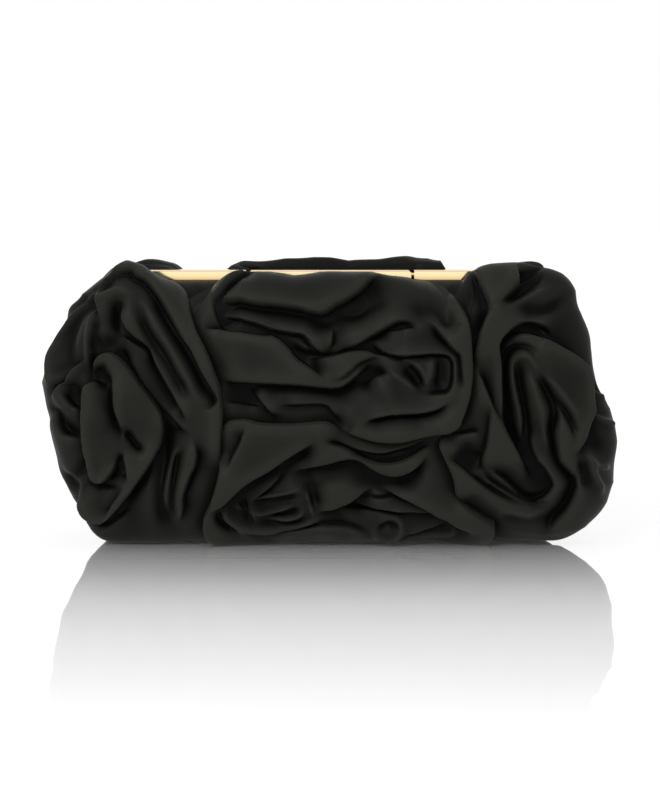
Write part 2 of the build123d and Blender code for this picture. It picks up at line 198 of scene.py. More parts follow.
# From where, and over how far, the outline of the ends and of the top and the turn in at
# the sides take hold.
ENDS_FROM, ENDS_OVER = 55.0, 80.0
TOP_FROM, TOP_OVER = 90.0, 40.0
SIDE_FROM, SIDE_OVER = 92.0, 14.0
SIGHT_LIFT = 1.9


def rounded_distance(x, z, half_width, half_height, corner):
    """Distance outside a rounded rectangle round (0, 0), and the direction straight out."""
    qx, qz = np.abs(x) - (half_width - corner), np.abs(z) - (half_height - corner)
    ox, oz = np.maximum(qx, 0), np.maximum(qz, 0)
    out = np.hypot(ox, oz)
    flat = out < 1e-9
    nx = np.where(flat, (qx > qz) * 1.0, ox / np.maximum(out, 1e-9)) * np.sign(x)
    nz = np.where(flat, (qx <= qz) * 1.0, oz / np.maximum(out, 1e-9)) * np.sign(z)
    return out + np.minimum(np.maximum(qx, qz), 0) - corner, nx, nz


def from_core(x, z):
    """Distance outside the flat middle, and the direction straight out of it."""
    d, nx, nz = rounded_distance(x, z - FORM_MIDDLE, CORE_HALF, CORE_HIGH, CORE_CORNER)
    return d, np.where(d > -CORE_CORNER, nx, 0), np.where(d > -CORE_CORNER, nz, 0)


# The bag's outline seen from the front: half widths up the left and right ends, and the
# height of the satin's upper edge along the bag.
LEFT_END = [
    (0, 112), (9, 119), (21, 125), (32, 128), (49, 132), (66, 136), (78, 138), (90, 134), (107, 127),
    (122, 120), (130, 110),
]
RIGHT_END = [
    (0, 111), (9, 124), (21, 132.5), (30, 137), (50, 138), (66, 136), (78, 131), (95, 125), (112, 121),
    (122, 117), (130, 110),
]
FRONT_TOP = [
    (-120, 131), (-110, 131), (-100, 133), (-92, 134), (-87, 133), (-82, 130), (-76, 126), (-67, 120),
    (-60, 122.5), (-54, 125), (-48, 128), (-42, 131), (-35, 130.6), (-27, 129), (-17.6, 128), (-8, 129.4),
    (-1.6, 130.6), (8, 131), (17.6, 130.6), (27, 129), (38.4, 127.5), (46, 126), (52, 122.5), (55, 120.5),
    (60, 125), (65.6, 130.5), (70, 132), (75, 133), (95, 133.5), (108, 132.5), (120, 131),
]
REAR_TOP = [
    (-120, 129), (-104, 130), (-93, 131.5), (-84, 131), (-74, 128), (-62, 127.5), (-58, 131), (-55, 136.5),
    (-48, 137.5), (-42, 136.5), (-20, 135.8), (-9, 134.6), (0, 136.6), (8, 137), (22, 136.6), (38, 134.5),
    (48, 133), (54, 128), (70, 128), (76, 132.5), (88, 134.5), (104, 133.5), (120, 128),
]


def pulled_in(end, amount):
    return [(z, half - amount) for z, half in end]


FRONT_OUTLINE = (LEFT_END, RIGHT_END, FRONT_TOP)
REAR_OUTLINE = (pulled_in(RIGHT_END, 3.0), pulled_in(LEFT_END, 3.0), REAR_TOP)


def plain_half_width(z):
    corner = ROUND + CORE_CORNER
    over = np.clip(np.abs(z - FORM_MIDDLE) - (CORE_HIGH - CORE_CORNER), 0, corner)
    return BAG_HALF - corner + np.sqrt(np.maximum(corner**2 - over**2, 0))


def outline_shift(x, z, outline):
    """How far the outline moves a point of the plain form, along x and z."""
    left, right, top = (np.array(line, float).T for line in outline)
    ends = np.where(x < 0, np.interp(z, *left), np.interp(z, *right))
    dx = np.sign(x) * (ends - plain_half_width(z)) * smooth((np.abs(x) - ENDS_FROM) / ENDS_OVER)
    dz = (np.interp(x, *top) - FORM_TOP) * smooth((z - TOP_FROM) / TOP_OVER)
    return dx, dz


def form(u, v, outline):
    """The bare form at flat coordinates: positions and unit directions along the cloth."""
    d, nx, nz = from_core(u, v)
    way = np.maximum(d, 0)
    x0, z0 = u - nx * way, v - nz * way
    r = np.interp(way, ARC_WAY, ARC_R)
    y = np.interp(way, ARC_WAY, ARC_Y)
    x, z = x0 + nx * r, z0 + nz * r
    y = y - MIDDLE_BULGE * smooth(1 - np.hypot(x / CORE_HALF, (z - FORM_MIDDLE) / BULGE_HALF_HEIGHT))
    dx, dz = outline_shift(x, z, outline)
    x, z = x + dx, z + dz
    # behind the widest line the cloth turns in, at the ends and below as far as the frame
    side = smooth((np.abs(x0) + 0.6 * np.abs(nx) * way - SIDE_FROM) / SIDE_OVER)
    above = smooth((z - FORM_MIDDLE) / 20) * (1 - side)
    off, fx, fz = rounded_distance(x, z - FRAME_MIDDLE, FRAME_HALF, FRAME_HALF_HEIGHT, FRAME_CORNER)
    turn = (1 - above) * np.maximum(off - 0.7, 0)
    in_x, in_z = turn * fx + above * TOP_TURN * nx, turn * fz + above * TOP_TURN * nz
    b = np.clip((way - ROUND_WAY) / BACK_TURN, 0, 1) * math.pi / 2
    end = side * SIDE_END + (1 - side) * FRONT_END
    y = y + (WIDEST - end) * np.sin(b)
    p = np.stack([x - in_x * (1 - np.cos(b)), y, z - in_z * (1 - np.cos(b))], -1)
    tu, tv = unit(np.gradient(p, axis=1)), unit(np.gradient(p, axis=0))
    return p, unit(np.cross(tu, tv)), tu, tv


def to_cloth(points, outline):
    """Flat coordinates of points that are given as x and z seen from the front."""
    p = np.asarray(points, float)
    x, z = p[:, 0], p[:, 1] + SIGHT_LIFT
    dx, dz = outline_shift(x, z, outline)
    x, z = x - dx, z - dz
    d, nx, nz = from_core(x, z)
    out = np.maximum(d, 0)
    way = np.interp(np.minimum(out, ROUND), ARC_R, ARC_WAY) + np.maximum(out - ROUND, 0)
    return np.stack([x + nx * (way - out), z + nz * (way - out)], -1)


# ---- folds ----
# Each fold is a line of points, x, z, x, z and so on, in mm as seen from the front.
# lip: one layer of cloth lies over the next; side +1 puts the upper layer on the line's
# left. Numbers: side, rise of the lip, drop beside it, how wide the rise is.
# ridge: height and half width of a soft tube; a negative height makes a valley.
LEFT_FOLDS = [
    ("ridge", 2.2, 1.8, (-105.5, 127.5, -118.5, 115.5, -127, 104.5, -131.5, 95.5, -133.5, 86, -133, 77,
        -132, 71.5)),
    ("ridge", -4, 4.5, (-112, 119, -121.5, 110, -126, 99, -128, 86, -129, 79)),
    ("lip", 1, 4, 5, 9, (-89, 133, -99, 131, -105, 127, -108, 122, -109, 114, -111, 106)),
    ("lip", 1, 2, 4, 5, (-107.5, 114, -107, 122, -104, 127, -98.5, 128.5, -93.5, 127.5, -86, 124, -80, 117,
        -73, 107, -66, 96, -60, 84, -54.5, 74, -53, 69, -56, 65.5, -61, 66.5)),
    ("ridge", -1.8, 2.2, (-84, 117, -79, 110, -70.5, 96.5, -62.5, 82.5, -57, 71)),
    ("ridge", 2.2, 2.8, (-88, 117, -83.5, 106.5, -74.5, 92.5, -66, 78, -60, 69)),
    ("ridge", -3.6, 2, (-91, 114, -86, 103, -79, 92, -72, 80, -65.5, 69)),
    ("ridge", 3, 1.6, (-116, 82, -116, 93.5, -115, 101, -112, 110, -107.5, 116.5, -102, 119.7, -96.5, 120,
        -92, 117.5)),
    ("ridge", -4, 2.6, (-100, 117, -100.5, 109, -99, 101)),
    ("ridge", -3, 2.6, (-113, 97.5, -106, 97, -100, 98.5)),
    ("ridge", -2.5, 2.2, (-110.5, 109, -113, 101, -113.5, 92)),
    ("lip", 1, 3, 5, 6, (-97, 118, -98.5, 112, -97.5, 106.5, -92, 100, -85.5, 94.5, -81, 86, -73.5, 72.5,
        -66, 57.5)),
    ("lip", -1, 2, 4, 5, (-98.5, 96, -98, 99.5, -93, 96, -87, 92, -82, 86)),
    ("lip", 1, 1.5, 5, 5, (-97.5, 95, -92, 85, -83.5, 71, -75, 62, -65, 52)),
    ("lip", -1, 4, 5, 8, (-111.5, 77, -112, 82, -111.5, 87, -107.5, 91, -102, 90.5, -96.5, 86, -90, 77,
        -83.5, 68.5, -79.5, 60.5, -80, 50, -85.5, 40, -91, 32, -96.5, 24, -104, 14, -110.5, 9.5, -116, 12.5,
        -119.5, 19, -121.5, 27)),
    ("ridge", -4.5, 3, (-109.5, 86, -107.5, 80, -103.5, 77.5)),
    ("lip", 1, 2.4, 4, 6, (-102, 77, -107, 76, -112, 77.5, -115.7, 75, -116.7, 66, -116.7, 50, -115, 39,
        -113, 31.5, -109.5, 30, -104, 35.5, -98.5, 46.5)),
    ("lip", 1, 2, 3.5, 5, (-103, 86, -101.5, 77, -101, 66, -98, 56.5, -97.5, 48)),
    ("ridge", -3, 1.5, (-96, 55, -92, 49, -88.5, 46)),
    ("lip", 1, 1.5, 3, 6, (-98, 46.5, -96.5, 40, -95.5, 30)),
    ("ridge", -1.5, 1.6, (-118, 29.5, -110, 28.5, -97.5, 28.5)),
    ("lip", 1, 2, 3, 5, (-96.5, 30, -103, 19, -109.5, 10.5)),
    ("lip", 1, 2, 3, 6, (-94.5, 17.5, -102, 9, -106, 5.5, -111, 4.5, -115.5, 7, -119.5, 9.5)),
    ("ridge", -3.6, 2.4, (-79, 60, -78, 44.5, -79.5, 33.5, -80.5, 22.5, -79, 11.5, -74.5, 6.5)),
    ("lip", -1, 2.5, 4, 6, (-65, 53, -63.2, 48, -63.8, 40, -67, 32.5, -70, 23.5, -70.3, 16, -72, 7.5)),
    ("ridge", 2.4, 1.4, (-70.5, 50, -74.5, 41, -77, 28, -77.8, 17)),
    ("ridge", -3, 1.8, (-69, 48.5, -72.3, 41, -74.3, 28, -75, 17, -74, 9.5)),
    ("lip", 1, 3, 4, 3, (-116, 90, -122.5, 85, -128, 77, -133.5, 68.5)),
    ("ridge", -4.5, 3.6, (-122, 79, -123.5, 72, -119, 67)),
    ("lip", -1, 2, 3, 5, (-128.5, 73, -125, 66.5, -117, 62.5)),
    ("lip", -1, 2.5, 3.5, 8, (-134.5, 64, -131.5, 62, -130.3, 55.5, -127, 51.5, -116.7, 50)),
    ("ridge", -3, 2, (-116, 40, -119, 36, -124, 31)),
    ("ridge", -3, 2, (-127, 33, -124, 28, -120, 27)),
]
UPPER_FOLDS = [
    ("lip", -1, 2.6, 4, 6, (-36, 133, -43, 128.5, -50, 123, -56, 118.5, -55, 112, -52, 106, -47.5, 101)),
    ("lip", 1, 2.5, 4.4, 8, (-57, 120, -51.5, 118.6, -45.5, 117.5, -36, 116, -26.5, 115, -17, 114, -9, 112,
        -3, 111.5, 2.5, 115, 8, 118, 14, 122, 18.5, 126, 24.5, 128)),
    ("ridge", -3, 4.5, (-12, 107.5, -3, 107, 5, 110.5, 12, 116, 19, 121.5, 25, 125)),
    ("lip", 1, 2.6, 4.6, 6, (-56, 115.5, -51.5, 112.5, -46.5, 110.5, -41, 109, -33, 106.5, -26.5, 104,
        -18.5, 102.5, -13, 101.5, -10, 99, -7, 95, -1.5, 91, 1.5, 90.5)),
    ("lip", -1, 1.5, 2.5, 3, (1.5, 106, 0.5, 99, 0, 92)),
    ("lip", -1, 3, 5, 7, (-62, 106, -55, 103.5, -45.5, 101.5, -32, 99.5, -27.5, 99.5, -23.5, 97, -19.5, 93,
        -16, 88.5, -10, 84.5, -4.5, 81, 0, 79)),
    ("lip", 1, 2, 3, 4, (-2, 79.5, 3, 80, 6.5, 82, 12, 87, 16, 89, 21, 89.5, 27, 87)),
    ("lip", -1, 2, 4, 4, (-13, 89, -4.5, 89, 2.5, 90, 10, 92, 17, 92.5, 21.5, 91, 28.5, 89, 36, 87)),
    ("ridge", 2, 2, (-14, 95, -8, 94, -2.5, 90.5)),
    ("ridge", -2, 2, (-19, 95, -13, 91, -7, 89.5)),
    ("lip", 1, 3, 5.5, 8, (-53.5, 79, -41, 78.5, -26.5, 78, -15, 77.5, -5.5, 76.5, 1.5, 76, 6, 77, 12, 81.5,
        17, 85.5, 21.5, 87.5)),
    ("ridge", -3, 3, (13, 78.5, 19, 80.5, 26, 84)),
    ("lip", -1, 2, 3, 5, (16, 76, 21, 79.5, 27.5, 83)),
    ("ridge", 2, 1.2, (27.5, 83.5, 34, 79, 41, 74.5)),
    ("ridge", 2, 1.3, (37, 88, 42, 84.5, 44.5, 79, 45.5, 74.5)),
    ("ridge", -4, 2.4, (36, 85, 39.5, 81.5, 42, 77)),
    ("ridge", 1.5, 2, (48, 89, 47.5, 84, 46.5, 79)),
    ("ridge", -3, 2.2, (52.5, 89, 52, 81, 51.5, 75)),
    ("lip", 1, 2, 3.6, 3, (18.5, 99, 21.5, 95, 26.5, 92, 34, 91, 41, 91.5, 48.5, 92, 54.5, 91.5, 58, 88.5,
        58.5, 83.5, 58, 77, 55, 72.5, 48.5, 72, 41, 73)),
    ("lip", 1, 2.5, 4, 4, (44, 108, 48.5, 105.5, 53.5, 100, 58, 94.5, 61.5, 91, 62.5, 84, 62.5, 76, 60, 70)),
    ("lip", 1, 2.5, 4.5, 5, (3, 91.5, 8, 94, 13, 96.5, 17.5, 99.5, 22.5, 102.5, 27.5, 105.5, 32, 107.5,
        37, 107, 41.5, 104.5)),
    ("lip", -1, 1.5, 3, 3, (23.5, 101.5, 31, 102.3, 37, 103.2, 41.5, 104.5)),
    ("ridge", -3, 3.6, (7, 107, 14, 112, 21, 115.5, 29, 116.5)),
    ("ridge", -2.5, 4, (36, 111.5, 44, 112.5, 52, 111.5, 60, 109)),
    ("ridge", -2, 3, (52, 106, 57, 106.5, 62, 104)),
    ("ridge", -4, 4.5, (-50, 73, -42, 70.5, -34, 69)),
    ("lip", 1, 2.5, 3.5, 6, (-39.5, 77, -35, 72.5, -31, 67.5, -26.5, 63, -21.5, 61)),
    ("lip", 1, 1.5, 3, 6, (-26.5, 66.5, -15, 68, -2.5, 68, 2, 64, 6, 59, 8, 55.5)),
    ("lip", 1, 2.5, 4, 4, (14, 56, 18.5, 60.5, 24.5, 62.5, 31, 63.5, 41, 64, 48.5, 65.5, 59, 70)),
    ("ridge", -3, 3.2, (1, 62, 6, 58, 11, 55)),
    ("lip", -1, 1.5, 3, 5, (-51, 68.5, -41, 66.7, -31, 65.8)),
]
LOWER_FOLDS = [
    ("lip", 1, 2, 3, 3, (-3.5, 51.5, 4.5, 49.5, 14, 46, 23.5, 44.5, 31, 46, 40, 48.5, 49, 51.5)),
    ("lip", 1, 1.5, 2.5, 6, (-39, 60, -41, 51, -45.5, 42, -49.5, 35.5)),
    ("lip", -1, 3, 5, 10, (-4.5, 50.5, -13, 47, -21, 42, -29, 36.5, -40, 30, -49, 22, -55.5, 16, -57.5, 13)),
    ("lip", -1, 2.5, 5, 4, (-5, 50.5, 4.5, 47.5, 13.5, 43, 22.5, 39.5, 30, 39.3, 38, 42, 45, 46.5,
        50.5, 49)),
    ("lip", 1, 2.5, 5.5, 5, (-19.5, 34, -12, 36.8, -2, 39.5, 7, 41.8, 13.5, 40.6, 20, 36.8, 27, 34,
        34.5, 34.5, 41.5, 39, 48, 45.5)),
    ("ridge", -3, 4, (-12, 32, -2, 35, 8, 36.5, 18, 32, 27, 30, 36, 31, 44, 36)),
    ("lip", 1, 3, 5, 8, (-8, 13, 0, 17, 9, 21, 15.5, 25, 22.5, 28)),
    ("lip", 1, 2.5, 3.5, 8, (22, 28, 30, 24.5, 38, 21.5, 49, 16.5, 60.5, 10, 70, 4.5)),
    ("lip", -1, 1.5, 2.5, 2.5, (14.5, 23, 20, 21.2, 27, 21.3, 34, 23.5)),
    ("ridge", 1.2, 1.6, (19, 24.5, 24, 24.5, 30, 23.5)),
    ("lip", 1, 2, 4, 5, (9, 20.5, 14, 17, 20, 16, 30, 15.5, 41, 15, 52, 14, 58, 13.5)),
    ("ridge", 1.6, 1.1, (7, 21, 13, 17, 19, 14.2)),
    ("ridge", -2.5, 1.6, (6.5, 18.5, 11, 15, 15, 13.5)),
    ("lip", -1, 2, 3.5, 5, (4, 18, 8, 15.5, 15.5, 14.2, 27, 13.2, 33, 12.2)),
    ("ridge", 2.2, 1.3, (24, 10, 28, 12, 32.5, 11, 34, 7.5, 32.5, 3.8, 28, 2.2, 23, 3, 20.5, 6, 22, 8.5)),
    ("ridge", -2, 1.2, (24.5, 7, 27.5, 8.5, 30.5, 7.5)),
    ("lip", 1, 1.5, 3, 4, (33, 2.6, 44.5, 5.5, 57, 9)),
    ("ridge", 2.2, 1.2, (56, 9.5, 59, 7, 57.5, 3.5, 49, 2.4, 38, 2, 27, 1.5)),
    ("ridge", -1.6, 5.5, (-36, 14, -25, 16, -14, 20)),
    ("ridge", -1.8, 1, (-29, 11.8, -20, 13.9, -15.2, 16)),
    ("ridge", 2.8, 0.95, (-38.4, 16.7, -37.6, 20, -32.3, 22.2, -24.5, 24.2, -16.6, 26.7, -12.7, 27.3,
        -10.8, 25.6)),
    ("ridge", 2.6, 0.95, (-38.4, 16.7, -36.2, 13.9, -30, 13.5, -23.3, 15.5, -17.8, 17.5, -14.4, 18)),
    ("ridge", 2.4, 0.9, (-14.4, 18, -13.1, 15.5, -15.5, 12.7, -20, 11.1, -24.5, 11.1, -29, 10.5)),
    ("ridge", 2.2, 1.6, (-48, 21, -50, 15.5, -48, 11, -42.3, 7.7, -34.5, 6, -25.6, 5.5, -17.8, 6.6,
        -12.2, 8.8, -6.6, 11, -2, 13.3)),
    ("ridge", 1.8, 1.2, (-46.8, 19, -41.2, 15.5, -36, 11, -35.6, 8.3)),
    ("ridge", 2.6, 1, (-11, 25.6, -9.9, 21, -8.8, 16.7, -7.7, 13.3)),
    ("ridge", -2, 1.1, (-36, 17.8, -29, 19.4, -18, 22.8, -12.5, 23.2)),
    ("ridge", -2, 1, (-34.5, 8.8, -24.5, 8.3, -15.5, 10, -10, 12)),
    ("ridge", -2.2, 1.3, (-40.8, 21, -41, 17, -39, 12.5, -36.5, 9.5)),
    ("ridge", -3.5, 1.8, (-54.5, 16, -51.5, 10, -44.5, 5)),
    ("lip", -1, 1.5, 3, 3, (-22.8, 40, -22.8, 35.5, -26.7, 30, -33.5, 23.5, -41, 18)),
    ("ridge", -3.5, 2.6, (-10.5, 31, -8, 24, -7, 18)),
    ("lip", -1, 1.5, 2.5, 4, (-31, 3, -18, 5, -6.5, 7.5, 0, 7.6, 9, 6.5, 16, 4.5, 22, 3)),
]
RIGHT_FOLDS = [
    ("lip", 1, 4, 5, 8, (67.5, 129.5, 73, 120.5, 75.3, 114, 74, 108.5, 71, 100, 67.5, 92)),
    ("lip", -1, 3.5, 5, 8, (107, 133, 96, 130, 89.5, 125, 82, 117.5, 77.5, 112)),
    ("lip", 1, 3, 4, 6, (80, 114.5, 77.5, 111.5, 74, 105.5, 71, 97.5, 68.5, 91, 68.5, 84)),
    ("lip", -1, 2, 4, 7, (68, 88, 71, 79, 76, 67, 81, 55, 86, 46.5, 92, 37, 95, 31)),
    ("lip", 1, 2, 3, 6, (74, 72.5, 75.5, 62, 74.5, 49.5, 72, 40, 73.5, 32.5)),
    ("lip", -1, 3, 6, 6, (108, 99.5, 104, 104.5, 98, 107, 92.5, 107, 87.5, 105, 83, 101.5, 79.3, 96,
        80.5, 85.5, 81, 72, 81, 60, 85, 49.5, 89.5, 40, 95, 32)),
    ("lip", -1, 4, 5, 9, (83, 99, 91.5, 100.3, 100.5, 98.7, 109, 94.5, 118, 88, 123.3, 81, 123.8, 70,
        123.3, 61.5, 119, 50.5, 114.5, 41)),
    ("ridge", 3.2, 1.5, (89.5, 47, 89.5, 57.5, 87.5, 70.5, 85.8, 81.5, 86.3, 87.5, 89.5, 90.5, 93.5, 90,
        96.3, 86, 98, 81)),
    ("ridge", -2.6, 1.5, (83.2, 60, 82.8, 72, 82.6, 84, 85, 92.5, 92, 95, 99, 91)),
    ("ridge", -3.6, 1.5, (90.5, 87, 89.8, 80, 91, 70, 92.5, 60, 93.5, 50)),
    ("ridge", 2.6, 2.4, (93, 84, 95.5, 76, 98.5, 66, 101, 55, 104, 43)),
    ("ridge", -3.6, 1.9, (97.8, 83, 101.5, 75, 104.8, 66, 105, 56, 106, 46)),
    ("ridge", 1.8, 1.6, (100, 82, 106, 76, 112, 67, 117, 59)),
    ("ridge", -2.5, 1.8, (104.5, 73, 110, 65, 114, 56, 115, 48)),
    ("lip", 1, 3, 5, 5, (96, 57, 95, 50, 98, 42, 102.5, 36.5, 105.8, 31, 105.8, 26.5, 101.5, 21.3, 96, 19.2,
        91.5, 20.8, 86, 26.7, 79.5, 33.2, 73, 38.7)),
    ("ridge", -4.5, 4.5, (94, 35, 98, 31, 99.5, 26)),
    ("lip", 1, 3, 5, 7, (108, 65, 107, 53, 109, 42, 113.5, 36.5, 117.3, 32, 116.7, 24.5, 112.5, 16, 107, 9.5,
        101.5, 4.5)),
    ("lip", -1, 2, 3, 5, (72, 40, 73.5, 32.5, 83, 25, 92.5, 19, 100, 18, 107, 19)),
    ("lip", -1, 2.5, 4, 6, (52.5, 47.5, 56, 42, 62, 36.5, 71.5, 28.5, 79, 23.5, 87, 19.5, 95.5, 16.5,
        106.5, 16.5)),
    ("ridge", -3.5, 3.5, (60, 47, 66, 43, 72, 38)),
    ("lip", -1, 1.5, 3, 4, (55.5, 53.5, 62, 53, 73, 54.5)),
    ("ridge", -2.5, 3, (79, 14.5, 92, 12.5, 105, 13)),
    ("ridge", -3, 2, (124, 83.5, 128.5, 78, 133, 74)),
    ("ridge", 1.8, 1.6, (124, 76, 128.5, 74, 134, 69.5)),
    ("ridge", -3, 2.6, (122, 58, 126, 52, 130, 46)),
    ("ridge", 2.5, 1.6, (124, 64, 129.5, 60, 136.5, 56)),
    ("ridge", 2.5, 1.6, (119, 47, 122.5, 43, 125, 33, 129.5, 23)),
    ("ridge", 1.8, 1.3, (123.5, 41, 127, 37.5, 132.5, 37)),
    ("ridge", -3, 2.4, (117.5, 42, 120.5, 34, 121, 26)),
    ("ridge", -3.2, 2.4, (82, 116, 91.5, 123, 100, 127.5, 106.5, 129.5)),
    ("ridge", 1.6, 2, (82, 113, 94, 118.5, 105, 122.5)),
    ("ridge", -3.2, 2.4, (88, 112.5, 100, 112.8, 108, 115.5, 113, 119)),
]

# Where one rosette lies over the next. Each point is (x, z, over): over is 1 where the
# rosette on the line's left lies on top, and -1 where the one on its right does.
LEFT_MEETS_MIDDLE = [
    (-76, 139, -1), (-70, 124, -1), (-68, 119, -1), (-63.5, 104.5, -1), (-55.5, 85.5, -1), (-51.5, 73.5, -1),
    (-51, 62, -1), (-52, 47, -0.8), (-52, 35, 0.6), (-56, 20, 1), (-60, 9, 1), (-57, 2, 1), (-49, -4, 1),
    (-40, -9, 1),
]
MIDDLE_MEETS_RIGHT = [
    (52, 132, -1), (54.5, 123.5, -1), (60, 115, -1), (65, 104.5, -1), (66, 95, -1), (66.5, 82, -1),
    (65, 70.5, -1), (61, 60, -1), (55.5, 54.5, -1), (52, 48.5, 0.7), (54, 42, 1), (57, 36, 1), (59, 30, 1),
    (60.5, 22, 0), (66, 17, -1), (72, 13, -1), (78, 8, -1), (76.5, 1, -1), (71, -7, -1),
]
UPPER_MEETS_LOWER = [
    (-62, 54, -1), (-51, 55.5, -1), (-48, 59, -1), (-39.5, 60, -1), (-33, 58.5, -1), (-19.5, 58, -1),
    (-3.5, 59, -1), (0, 58, -0.6), (6, 55, 0.5), (13.5, 52.3, 1), (23, 50, 1), (32.5, 50, 1), (42, 51.8, 1),
    (51.5, 54, 1), (62, 58, 1),
]


# How strongly the numbers of the folds are taken.
LIP_RISE, LIP_DROP = 1.1, 1.6
RIDGE_HEIGHT = 1.2
VALLEY_DEPTH, VALLEY_WIDTH = 1.5, 1.35
FOLD_FADE = 12.0
# Where rosettes meet: the upper one's lap and the drop beside it, and the tuck of the lower.
LAP_RISE, LAP_REACH, LAP_DROP = 4.0, 9.0, 11.0
TUCK_DEPTH, TUCK_REACH = 6.0, 5.0
CLOTH_MARGIN = 3.0
# Crisp edges: their width along a lip and a border, and how far a lip leans over.
LIP_CRISP, BORDER_CRISP = 2.6, 3.0
LIP_LEAN, LEAN_WIDTH = 1.3, 1.3
# Blurs: of the marks of crisp edges, of the folds there and elsewhere, of sideways shifts.
MARK_BLUR, CRISP_BLUR, SOFT_BLUR, SHIFT_BLUR = 0.8, 0.4, 1.5, 0.9
# How deep a place lies below the cloth round it is told from a wide and a narrow blur. It sets painted shade
# in the satin's folds and painted light on its ridges and lip edges.
WIDE_BLUR, WIDE_SHADE_SCALE = 9.0, 14.0
NARROW_BLUR, NARROW_SHADE_SCALE = 2.2, 4.5
# Limits of a fold's depth and height, and the size of the slow waves over the folds.
DEEPEST, HIGHEST, WAVES = 9.5, 7.0, 1.2
# Spacing of the grid of cloth, in front and at the back.
FINE, COARSE = 0.55, 0.95


def gentle_waves(u, v, seed):
    """Slow unevenness of gathered cloth, from a few seeded sine waves."""
    rng = np.random.default_rng(seed)
    total = np.zeros(u.shape)
    for _ in range(14):
        length = rng.uniform(14, 46)
        turn = rng.uniform(0, math.pi)
        phase = rng.uniform(0, 2 * math.pi)
        way = (u * math.cos(turn) + v * math.sin(turn)) / length
        total += (length / 46) * np.sin(2 * math.pi * way + phase)
    return total / 4


def with_pairs(folds):
    """The folds with their lines as rows of x and z."""
    return [(*numbers, np.reshape(line, (-1, 2))) for *numbers, line in folds]


class Cloth:
    """The heights and sideways shifts of one rosette on its grid of flat coordinates."""

    def __init__(self, u, v, outline):
        self.u, self.v, self.outline = u, v, outline
        self.h, self.crisp = np.zeros(u.shape), np.zeros(u.shape)
        self.su, self.sv = np.zeros(u.shape), np.zeros(u.shape)
        self.edge = np.full(u.shape, 99.0)

    def beside(self, points, reach):
        """The part of the grid within reach of a fold's line, and how it lies to the line."""
        line = curve_through(to_cloth(points, self.outline))
        low, high = line.min(0) - reach, line.max(0) + reach
        rows = np.where((self.v[:, 0] >= low[1]) & (self.v[:, 0] <= high[1]))[0]
        cols = np.where((self.u[0] >= low[0]) & (self.u[0] <= high[0]))[0]
        if len(rows) < 2 or len(cols) < 2:
            return None
        cut = slice(rows[0], rows[-1] + 1), slice(cols[0], cols[-1] + 1)
        return cut, *measure(line, self.u[cut], self.v[cut])

    def lip(self, side, rise, drop, width, points):
        rise, drop, width = LIP_RISE * rise, LIP_DROP * drop, (0.7 + 0.1 * width) * width
        place = self.beside(points, 3 * width)
        if place is None:
            return
        cut, d, along, total, gu, gv = place
        d, gu, gv = d * side, gu * side, gv * side
        end = min(FOLD_FADE, total / 3)
        w = smooth(along / end) * smooth((total - along) / end)
        swell = rise * np.exp(-np.maximum(d, 0) / width)
        sink = -drop * np.exp(np.minimum(d, 0) / (0.8 * width))
        share = smooth((d + 0.7) / 1.4)
        self.h[cut] += w * (share * swell + (1 - share) * sink)
        self.crisp[cut] = np.maximum(self.crisp[cut], w * np.exp(-((d / LIP_CRISP) ** 2)))
        over = w * LIP_LEAN * np.exp(-(((d - 1.0) / LEAN_WIDTH) ** 2))
        self.su[cut] -= over * gu
        self.sv[cut] -= over * gv

    def ridge(self, height, width, points):
        if height < 0:
            height, width = VALLEY_DEPTH * height, VALLEY_WIDTH * width
        else:
            height = RIDGE_HEIGHT * height
        place = self.beside(points, 3 * width)
        if place is None:
            return
        cut, d, along, total, _, _ = place
        end = min(FOLD_FADE, total / 2.5)
        w = smooth((along + 2) / end) * smooth((total - along + 2) / end)
        self.h[cut] += w * height * np.exp(-((d / width) ** 2))
        if width < 2.5:
            self.crisp[cut] = np.maximum(self.crisp[cut], w * np.exp(-((d / (2 * width)) ** 2)))

    def meet(self, own, points):
        """The rosette's border: it laps over its neighbour, or passes under it."""
        flat = to_cloth([p[:2] for p in points], self.outline)
        line = curve_through(flat)
        d, along, _, gu, gv = measure(line, self.u, self.v)
        places = [np.argmin(np.hypot(*(line - q).T)) for q in flat]
        steps = np.concatenate([[0], np.cumsum(np.linalg.norm(np.diff(line, axis=0), axis=1))])
        over = np.interp(along, steps[places], [p[2] for p in points]) * own
        d, gu, gv = d * own, gu * own, gv * own
        share = smooth((over + 1) / 2)
        inside = np.maximum(d, 0)
        lap = LAP_RISE * (1 - np.exp(-inside)) * np.exp(-inside / LAP_REACH)
        lap -= LAP_DROP * smooth((0.8 - d) / 3.6)
        tuck = -TUCK_DEPTH * np.exp(-inside / TUCK_REACH) - 0.25 * np.maximum(-d, 0)
        self.h += share * lap + (1 - share) * tuck
        self.crisp = np.maximum(self.crisp, share * np.exp(-((d / BORDER_CRISP) ** 2)))
        lean = share * 1.5 * np.exp(-(((d - 1.0) / 1.4) ** 2))
        lean -= share * 2.0 * smooth((0.5 - d) / 3.0)
        self.su -= lean * gu
        self.sv -= lean * gv
        self.edge = np.minimum(self.edge, d + CLOTH_MARGIN * (2 - share))


def wander(points, amount):
    """Moves points (x, z, ...) by a slow wave, so that the back gets folds of its own."""
    p = np.array(points, float)
    x, z = p[:, 0].copy(), p[:, 1].copy()
    p[:, 0] += amount * (np.sin(z / 17 + x / 60 + 1.0) + 0.6 * np.sin(x / 14 - z / 31))
    p[:, 1] += amount * (0.8 * np.sin(x / 21 + 2.2) + 0.5 * np.sin(z / 12 - x / 40 + 0.6))
    return [tuple(row) for row in p]


